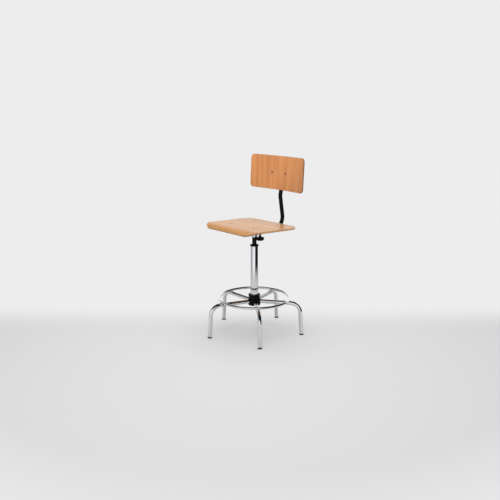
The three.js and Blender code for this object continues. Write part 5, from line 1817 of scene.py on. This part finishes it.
# ---- Backrest ----
@dataclass
class Backrest:
    """The curved backrest, its bracket, its two rivets and the bolt that it tilts on."""

    width: float = 470 * MM
    height: float = 215 * MM
    thick: float = 10 * MM
    curve_radius: float = 1030 * MM
    corner_radius: float = 25 * MM
    edge: float = 2.4 * MM
    tilt: float = math.radians(3.2)
    rivets_apart: float = 120 * MM
    pivot_depth: float = 30 * MM
    bracket: float = 3 * MM
    bracket_width: float = 152 * MM
    bracket_height: float = 46 * MM
    ear_reach: float = 9 * MM
    ear_slack: float = 1.2 * MM
    bolt_radius: float = 4 * MM
    rivet: TubularRivet = TubularRivet()

    def build(self, pivot: Vector) -> None:
        """Builds the backrest about its pivot.

        Args:
            pivot: The centre of the pivot.
        """
        lean = Matrix.Rotation(-self.tilt, 4, "X")
        self.frame = Matrix.Translation(pivot) @ lean @ Matrix.Translation((0, -self.pivot_depth, 0))
        self.build_panel()
        self.build_rivets()
        self.build_bracket()
        self.build_bolt()

    def bent(self, x: float, z: float, depth: float) -> Vector:
        """Puts a point of the flat board, x along its curve and z up it, on the bent backrest."""
        angle = x / self.curve_radius
        radius = self.curve_radius + depth
        y = radius * math.cos(angle) - self.curve_radius
        return self.frame @ Vector((radius * math.sin(angle), y, z))

    def along(self, x: float, depth: float) -> float:
        """The distance along the curve, at the face, of a point this far from the middle plane."""
        return self.curve_radius * math.asin(x / (self.curve_radius + depth))

    def build_panel(self) -> None:
        """Builds the plywood panel."""
        half = self.along(self.width / 2, 0.0)
        outline = divided(rounded(rectangle(half, self.height / 2, self.corner_radius), step=5), 5 * MM)
        spot = self.along(self.rivets_apart / 2, 0.0)
        holes = [self.rivet.hole(side * spot, 0.0, self.thick) for side in (-1, 1)]
        board = panel(outline, self.thick, self.edge, self.bent, holes, 6 * MM, grained=True)
        dress("backrest_board", board, Body.BACKREST, BACK_BEECH, "backrest_panel")

    def square_to(self, side: int) -> Matrix:
        """Stands a turned solid on the board's face at one rivet, its top to the front."""
        angle = math.asin(self.rivets_apart / 2 / self.curve_radius) * side
        centre = Matrix.Translation((0, -self.curve_radius, 0))
        to_front = Matrix.Rotation(math.pi / 2, 4, "X")
        return self.frame @ centre @ Matrix.Rotation(-angle, 4, "Z") @ centre.inverted() @ to_front

    def build_rivets(self) -> None:
        """Builds the two tubular rivets, square to the curve."""
        tail = -(self.thick + PLAY + self.bracket + PLAY)
        for number, side in enumerate((-1, 1)):
            name = f"back_rivet_{number + 1}"
            # The rivet finish's dark colour is painted shade for the cupped heads.
            piece = mesh_object(f"{name}_tubular", self.rivet.shape(tail).moved(self.square_to(side)))
            fit(piece, Body.BACKREST, PAINTED_SHADE_RIVET, name)

    def build_bracket(self) -> None:
        """Builds the strap behind the panel and its two ears, welded together."""
        front = self.thick + PLAY
        half = self.bracket_height / 2
        reach = self.along(self.bracket_width / 2, front)
        outline = divided(rounded(rectangle(reach, half, 12 * MM), step=8), 6 * MM)
        spot = self.along(self.rivets_apart / 2, 0.0)
        shank = self.rivet.shank_radius + PLAY
        holes = [Hole(side * spot, 0.0, ((shank, 0.0), (shank, self.bracket))) for side in (-1, 1)]
        strap = panel(outline, self.bracket, 0.7 * MM, lambda x, z, d: self.bent(x, z, front + d), holes,
                      8 * MM)
        piece = mesh_object("backrest_pivot_bracket", strap)
        inner = Extent.of("bar_cap").size.x / 2 + self.ear_slack
        root = front + self.bracket * 0.5
        shoulder = front + self.bracket + 4 * MM
        tip = self.pivot_depth + self.ear_reach
        corners = [
            (root, -half * 0.8, 1 * MM), (shoulder, -half * 0.8, 4 * MM),
            (tip, -self.ear_reach, 8 * MM), (tip, self.ear_reach, 8 * MM),
            (shoulder, half * 0.8, 4 * MM), (root, half * 0.8, 1 * MM),
        ]
        ears = []
        bolt = self.bolt_radius + PLAY
        for side in (-1, 1):
            outer = (inner + self.bracket) if side > 0 else -inner
            hole = Hole(self.pivot_depth, 0.0, ((bolt, 0.0), (bolt, self.bracket)))
            ear = panel(rounded(corners, step=8), self.bracket, 0.5 * MM,
                        lambda y, z, d, x=outer: self.frame @ Vector((x - d, y, z)), [hole])
            ears.append(ear)
        combine(piece, ears, "UNION")
        fit(piece, Body.BACKREST, BLACK_PAINT, "backrest_bracket")

    def build_bolt(self) -> None:
        """Builds the pivot bolt with its domed socket head and thread, and its nut."""
        nut = Extent.of("pivot_nut")
        ear = Extent.of("bar_cap").size.x / 2 + self.ear_slack + self.bracket
        seat = ear + PLAY
        head = 5 * MM
        head_radius = self.bolt_radius + 3 * MM
        nut_thick = nut.size.x
        end = -seat - nut_thick - 1.5 * MM
        profile = rounded([
            (0, -seat + 2 * MM), (self.bolt_radius, -seat + 2 * MM),
            (self.bolt_radius, seat, 0.3 * MM), (head_radius, seat, 0.5 * MM),
            (head_radius, seat + head * 0.5, 1.5 * MM),
            (head_radius - 2.4 * MM, seat + head, 1.8 * MM), (0, seat + head),
        ], closed=False)
        place = self.frame @ lie(Vector((0, self.pivot_depth, 0)), ACROSS)
        piece = mesh_object("backrest_pivot_bolt", lathe(profile, 56).moved(place))
        deep = seat + head - 2.6 * MM
        beyond = seat + head + MM
        key = rounded([(0, deep), (8 * MM, deep), (8 * MM, beyond), (0, beyond)], closed=False)
        combine(piece, [lathe(key, 48, flats(5 * MM)).moved(place)], "DIFFERENCE")
        tail = threaded(self.bolt_radius, -seat + 2 * MM - end, 1.25 * MM)
        tail = tail.moved(place @ Matrix.Translation((0, 0, end)))
        combine(piece, [tail], "UNION", 60)
        fit(piece, Body.BACKREST, ZINC, "pivot_bolt")
        bore = self.bolt_radius + PLAY
        crown = head_radius / math.cos(math.pi / 6)
        profile = rounded([
            (bore, -seat - nut_thick, 0.5 * MM), (head_radius - 0.5 * MM, -seat - nut_thick),
            (crown, -seat - nut_thick + 1.1 * MM), (crown, -seat - 1.1 * MM),
            (head_radius - 0.5 * MM, -seat), (bore, -seat, 0.5 * MM),
        ])
        piece = mesh_object("backrest_pivot_nut", lathe(profile, 96, flats(2 * head_radius)).moved(place))
        fit(piece, Body.BACKREST, ZINC, "pivot_nut")


# ---- Studio ----
@dataclass
class Studio:
    """The pale floor, the soft lights, the room that only the chrome mirrors, and the camera."""

    backdrop: Colour = (0.846, 0.846, 0.846)
    ambient: Colour = (0.32, 0.32, 0.33)
    floor: Colour = (0.9, 0.9, 0.89)
    white_wall: Colour = (1.05, 1.05, 1.05)
    grey_wall: Colour = (0.46, 0.46, 0.47)
    dark_wall: Colour = (0.012, 0.012, 0.013)
    camera_at: tuple[float, float, float] = (3.0249, -2.7316, 1.5029)
    azimuth: float = math.radians(48.03)
    elevation: float = math.radians(13.35)
    lens: float = 47.56
    sensor: float = 36.0

    def __post_init__(self) -> None:
        """Works out the ground directions towards the camera and to its right."""
        self.toward = Vector((math.sin(self.azimuth), -math.cos(self.azimuth), 0.0))
        self.right = Vector((math.cos(self.azimuth), math.sin(self.azimuth), 0.0))

    def build(self) -> None:
        """Builds the room, the lights and the camera."""
        bpy.context.scene.view_settings.view_transform = "Standard"
        self.build_world()
        self.build_floor()
        self.build_lights()
        self.build_camera()

    def build_world(self) -> None:
        """Makes the backdrop that the eye sees, the dimmer ambient light, and the walls that mirrors see."""
        world = bpy.data.worlds.new("studio")
        world.use_nodes = True
        bpy.context.scene.world = world
        tree = world.node_tree
        tree.nodes.clear()
        wires = Wiring(tree)
        direction = wires.add("TexCoord").outputs["Generated"]
        rightward = wires.vector("DOT_PRODUCT", direction, self.right)
        turn = wires.maths("ARCTAN2", rightward, wires.vector("DOT_PRODUCT", direction, self.toward))
        walls = wires.tint(self.sector(wires, turn, -140, -50, 14), self.white_wall, self.grey_wall)
        walls = wires.tint(self.sector(wires, turn, 22, 122, 7), walls, self.dark_wall)
        height = wires.add("SeparateXYZ", {0: direction}).outputs[2]
        room = wires.tint(wires.spread(height, 0.42, 0.6), walls, self.dark_wall)
        mirrored = wires.add("Background", {"Color": room, "Strength": 1.0}).outputs[0]
        plain = wires.add("Background", {"Color": self.backdrop, "Strength": 1.0}).outputs[0]
        dim = wires.add("Background", {"Color": self.ambient, "Strength": 1.0}).outputs[0]
        ray = wires.add("LightPath").outputs
        mixed = wires.add("MixShader", {0: ray["Is Glossy Ray"], 1: dim, 2: mirrored}).outputs[0]
        mixed = wires.add("MixShader", {0: ray["Is Camera Ray"], 1: mixed, 2: plain}).outputs[0]
        wires.add("OutputWorld", {"Surface": mixed})

    def sector(
        self, wires: Wiring, turn: object, start: float, stop: float, soft: float
    ) -> bpy.types.NodeSocket:
        """A mask of the directions between two bearings in degrees to the right of the camera."""
        into = wires.spread(turn, math.radians(start - soft), math.radians(start + soft))
        out = wires.spread(turn, math.radians(stop - soft), math.radians(stop + soft))
        return wires.minus(into, out)

    def build_floor(self) -> None:
        """Lays a pale floor: it fades out behind the chair, ends for mirrors and is clear from below."""
        grid = Shape()
        grid.faces.append(tuple(grid.row(Vector((p.x, p.y, 0.0)) for p in circle(14.0, 96))))
        floor = mesh_object("studio_floor", grid)
        paint = bpy.data.materials.new("studio_floor")
        paint.use_nodes = True
        tree = paint.node_tree
        wires = Wiring(tree)
        shader = tree.nodes["Principled BSDF"]
        wires.feed(shader, {"Base Color": self.floor, "Roughness": 0.8, "Specular IOR Level": 0.1})
        ray = wires.add("LightPath").outputs
        at = wires.add("TexCoord").outputs["Object"]
        away = wires.vector("LENGTH", at)
        behind = wires.spread(wires.vector("DOT_PRODUCT", at, -self.toward), 0.0, 0.5, 0.36)
        fade = wires.maths("MAXIMUM", behind, wires.spread(away, 1.2, 2.4))
        glow = wires.add("Emission", {"Color": self.backdrop, "Strength": 1.0}).outputs[0]
        seen = wires.times(fade, ray["Is Camera Ray"])
        mixed = wires.add("MixShader", {0: seen, 1: shader.outputs[0], 2: glow}).outputs[0]
        gone = wires.times(wires.spread(away, 1.2, 1.8), ray["Is Glossy Ray"])
        under = wires.add("NewGeometry").outputs["Backfacing"]
        gone = wires.maths("MAXIMUM", gone, wires.times(under, ray["Is Camera Ray"]))
        clear = wires.add("BsdfTransparent").outputs[0]
        mixed = wires.add("MixShader", {0: gone, 1: mixed, 2: clear}).outputs[0]
        tree.links.new(mixed, tree.nodes["Material Output"].inputs["Surface"])
        floor.data.materials.append(paint)

    def build_lights(self) -> None:
        """Hangs a large soft box overhead, a smaller one over the camera, and snoots on backrest and seat."""
        focus = Vector((0.0, 0.0, 0.7))
        for name, at, size, power in (
            ("overhead_softbox", UP * 3.4, 2.4, 46.0),
            ("key_softbox", self.toward * 2.0 - self.right * 0.3 + UP * 2.8, 1.4, 20.0),
        ):
            light = bpy.data.lights.new(name, "AREA")
            light.shape = "SQUARE"
            light.size = size
            light.energy = power
            self.hang(light, at, focus)
        backrest = self.toward * 1.9 - self.right * 0.9 + UP * 1.9
        for name, at, aim, power, cone in (
            ("backrest_snoot", backrest, Vector((0.0, 0.2, 1.14)), 108.0, 17),
            ("seat_side_snoot", ACROSS * 2.5 + UP * 1.2, Vector((0.0, -0.03, 0.68)), 60.0, 13),
        ):
            snoot = bpy.data.lights.new(name, "SPOT")
            snoot.energy = power
            snoot.spot_size = math.radians(cone)
            snoot.spot_blend = 0.4
            snoot.shadow_soft_size = 0.15
            self.hang(snoot, at, aim)

    def hang(self, light: bpy.types.Light, at: Vector, focus: Vector) -> None:
        """Hangs a light at a point, aimed at another, so that neither eye nor mirror sees the lamp itself."""
        lamp = bpy.data.objects.new(light.name, light)
        lamp.location = at
        lamp.rotation_mode = "QUATERNION"
        lamp.rotation_quaternion = (focus - at).to_track_quat("-Z", "Y")
        lamp.visible_camera = False
        lamp.visible_glossy = False
        bpy.context.scene.collection.objects.link(lamp)

    def build_camera(self) -> None:
        """Sets up the camera."""
        lens = bpy.data.cameras.new("studio_camera")
        lens.lens = self.lens
        lens.sensor_width = self.sensor
        camera = bpy.data.objects.new("studio_camera", lens)
        camera.location = self.camera_at
        flat = math.cos(self.elevation)
        look = Vector((
            -math.sin(self.azimuth) * flat,
            math.cos(self.azimuth) * flat,
            -math.sin(self.elevation),
        ))
        camera.rotation_mode = "QUATERNION"
        camera.rotation_quaternion = look.to_track_quat("-Z", "Y")
        bpy.context.scene.collection.objects.link(camera)
        bpy.context.scene.camera = camera


def main(frame: dict) -> None:
    """Builds the chair and the studio round the frame.
    """
    logging.basicConfig(level=logging.INFO, format="%(name)s: %(message)s")
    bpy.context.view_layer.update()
    pivot = Vector(joint_of(frame["joints"], "backrest_tilt")["pos_m"])
    FootBase().build()
    GasLift().build()
    Seat().build(mount_of(frame["record"], "sitting_face"))
    Mechanism().build()
    BackBar().build(pivot)
    Backrest().build(pivot)
    Studio().build()


if __name__ == "__main__":
    main(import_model())
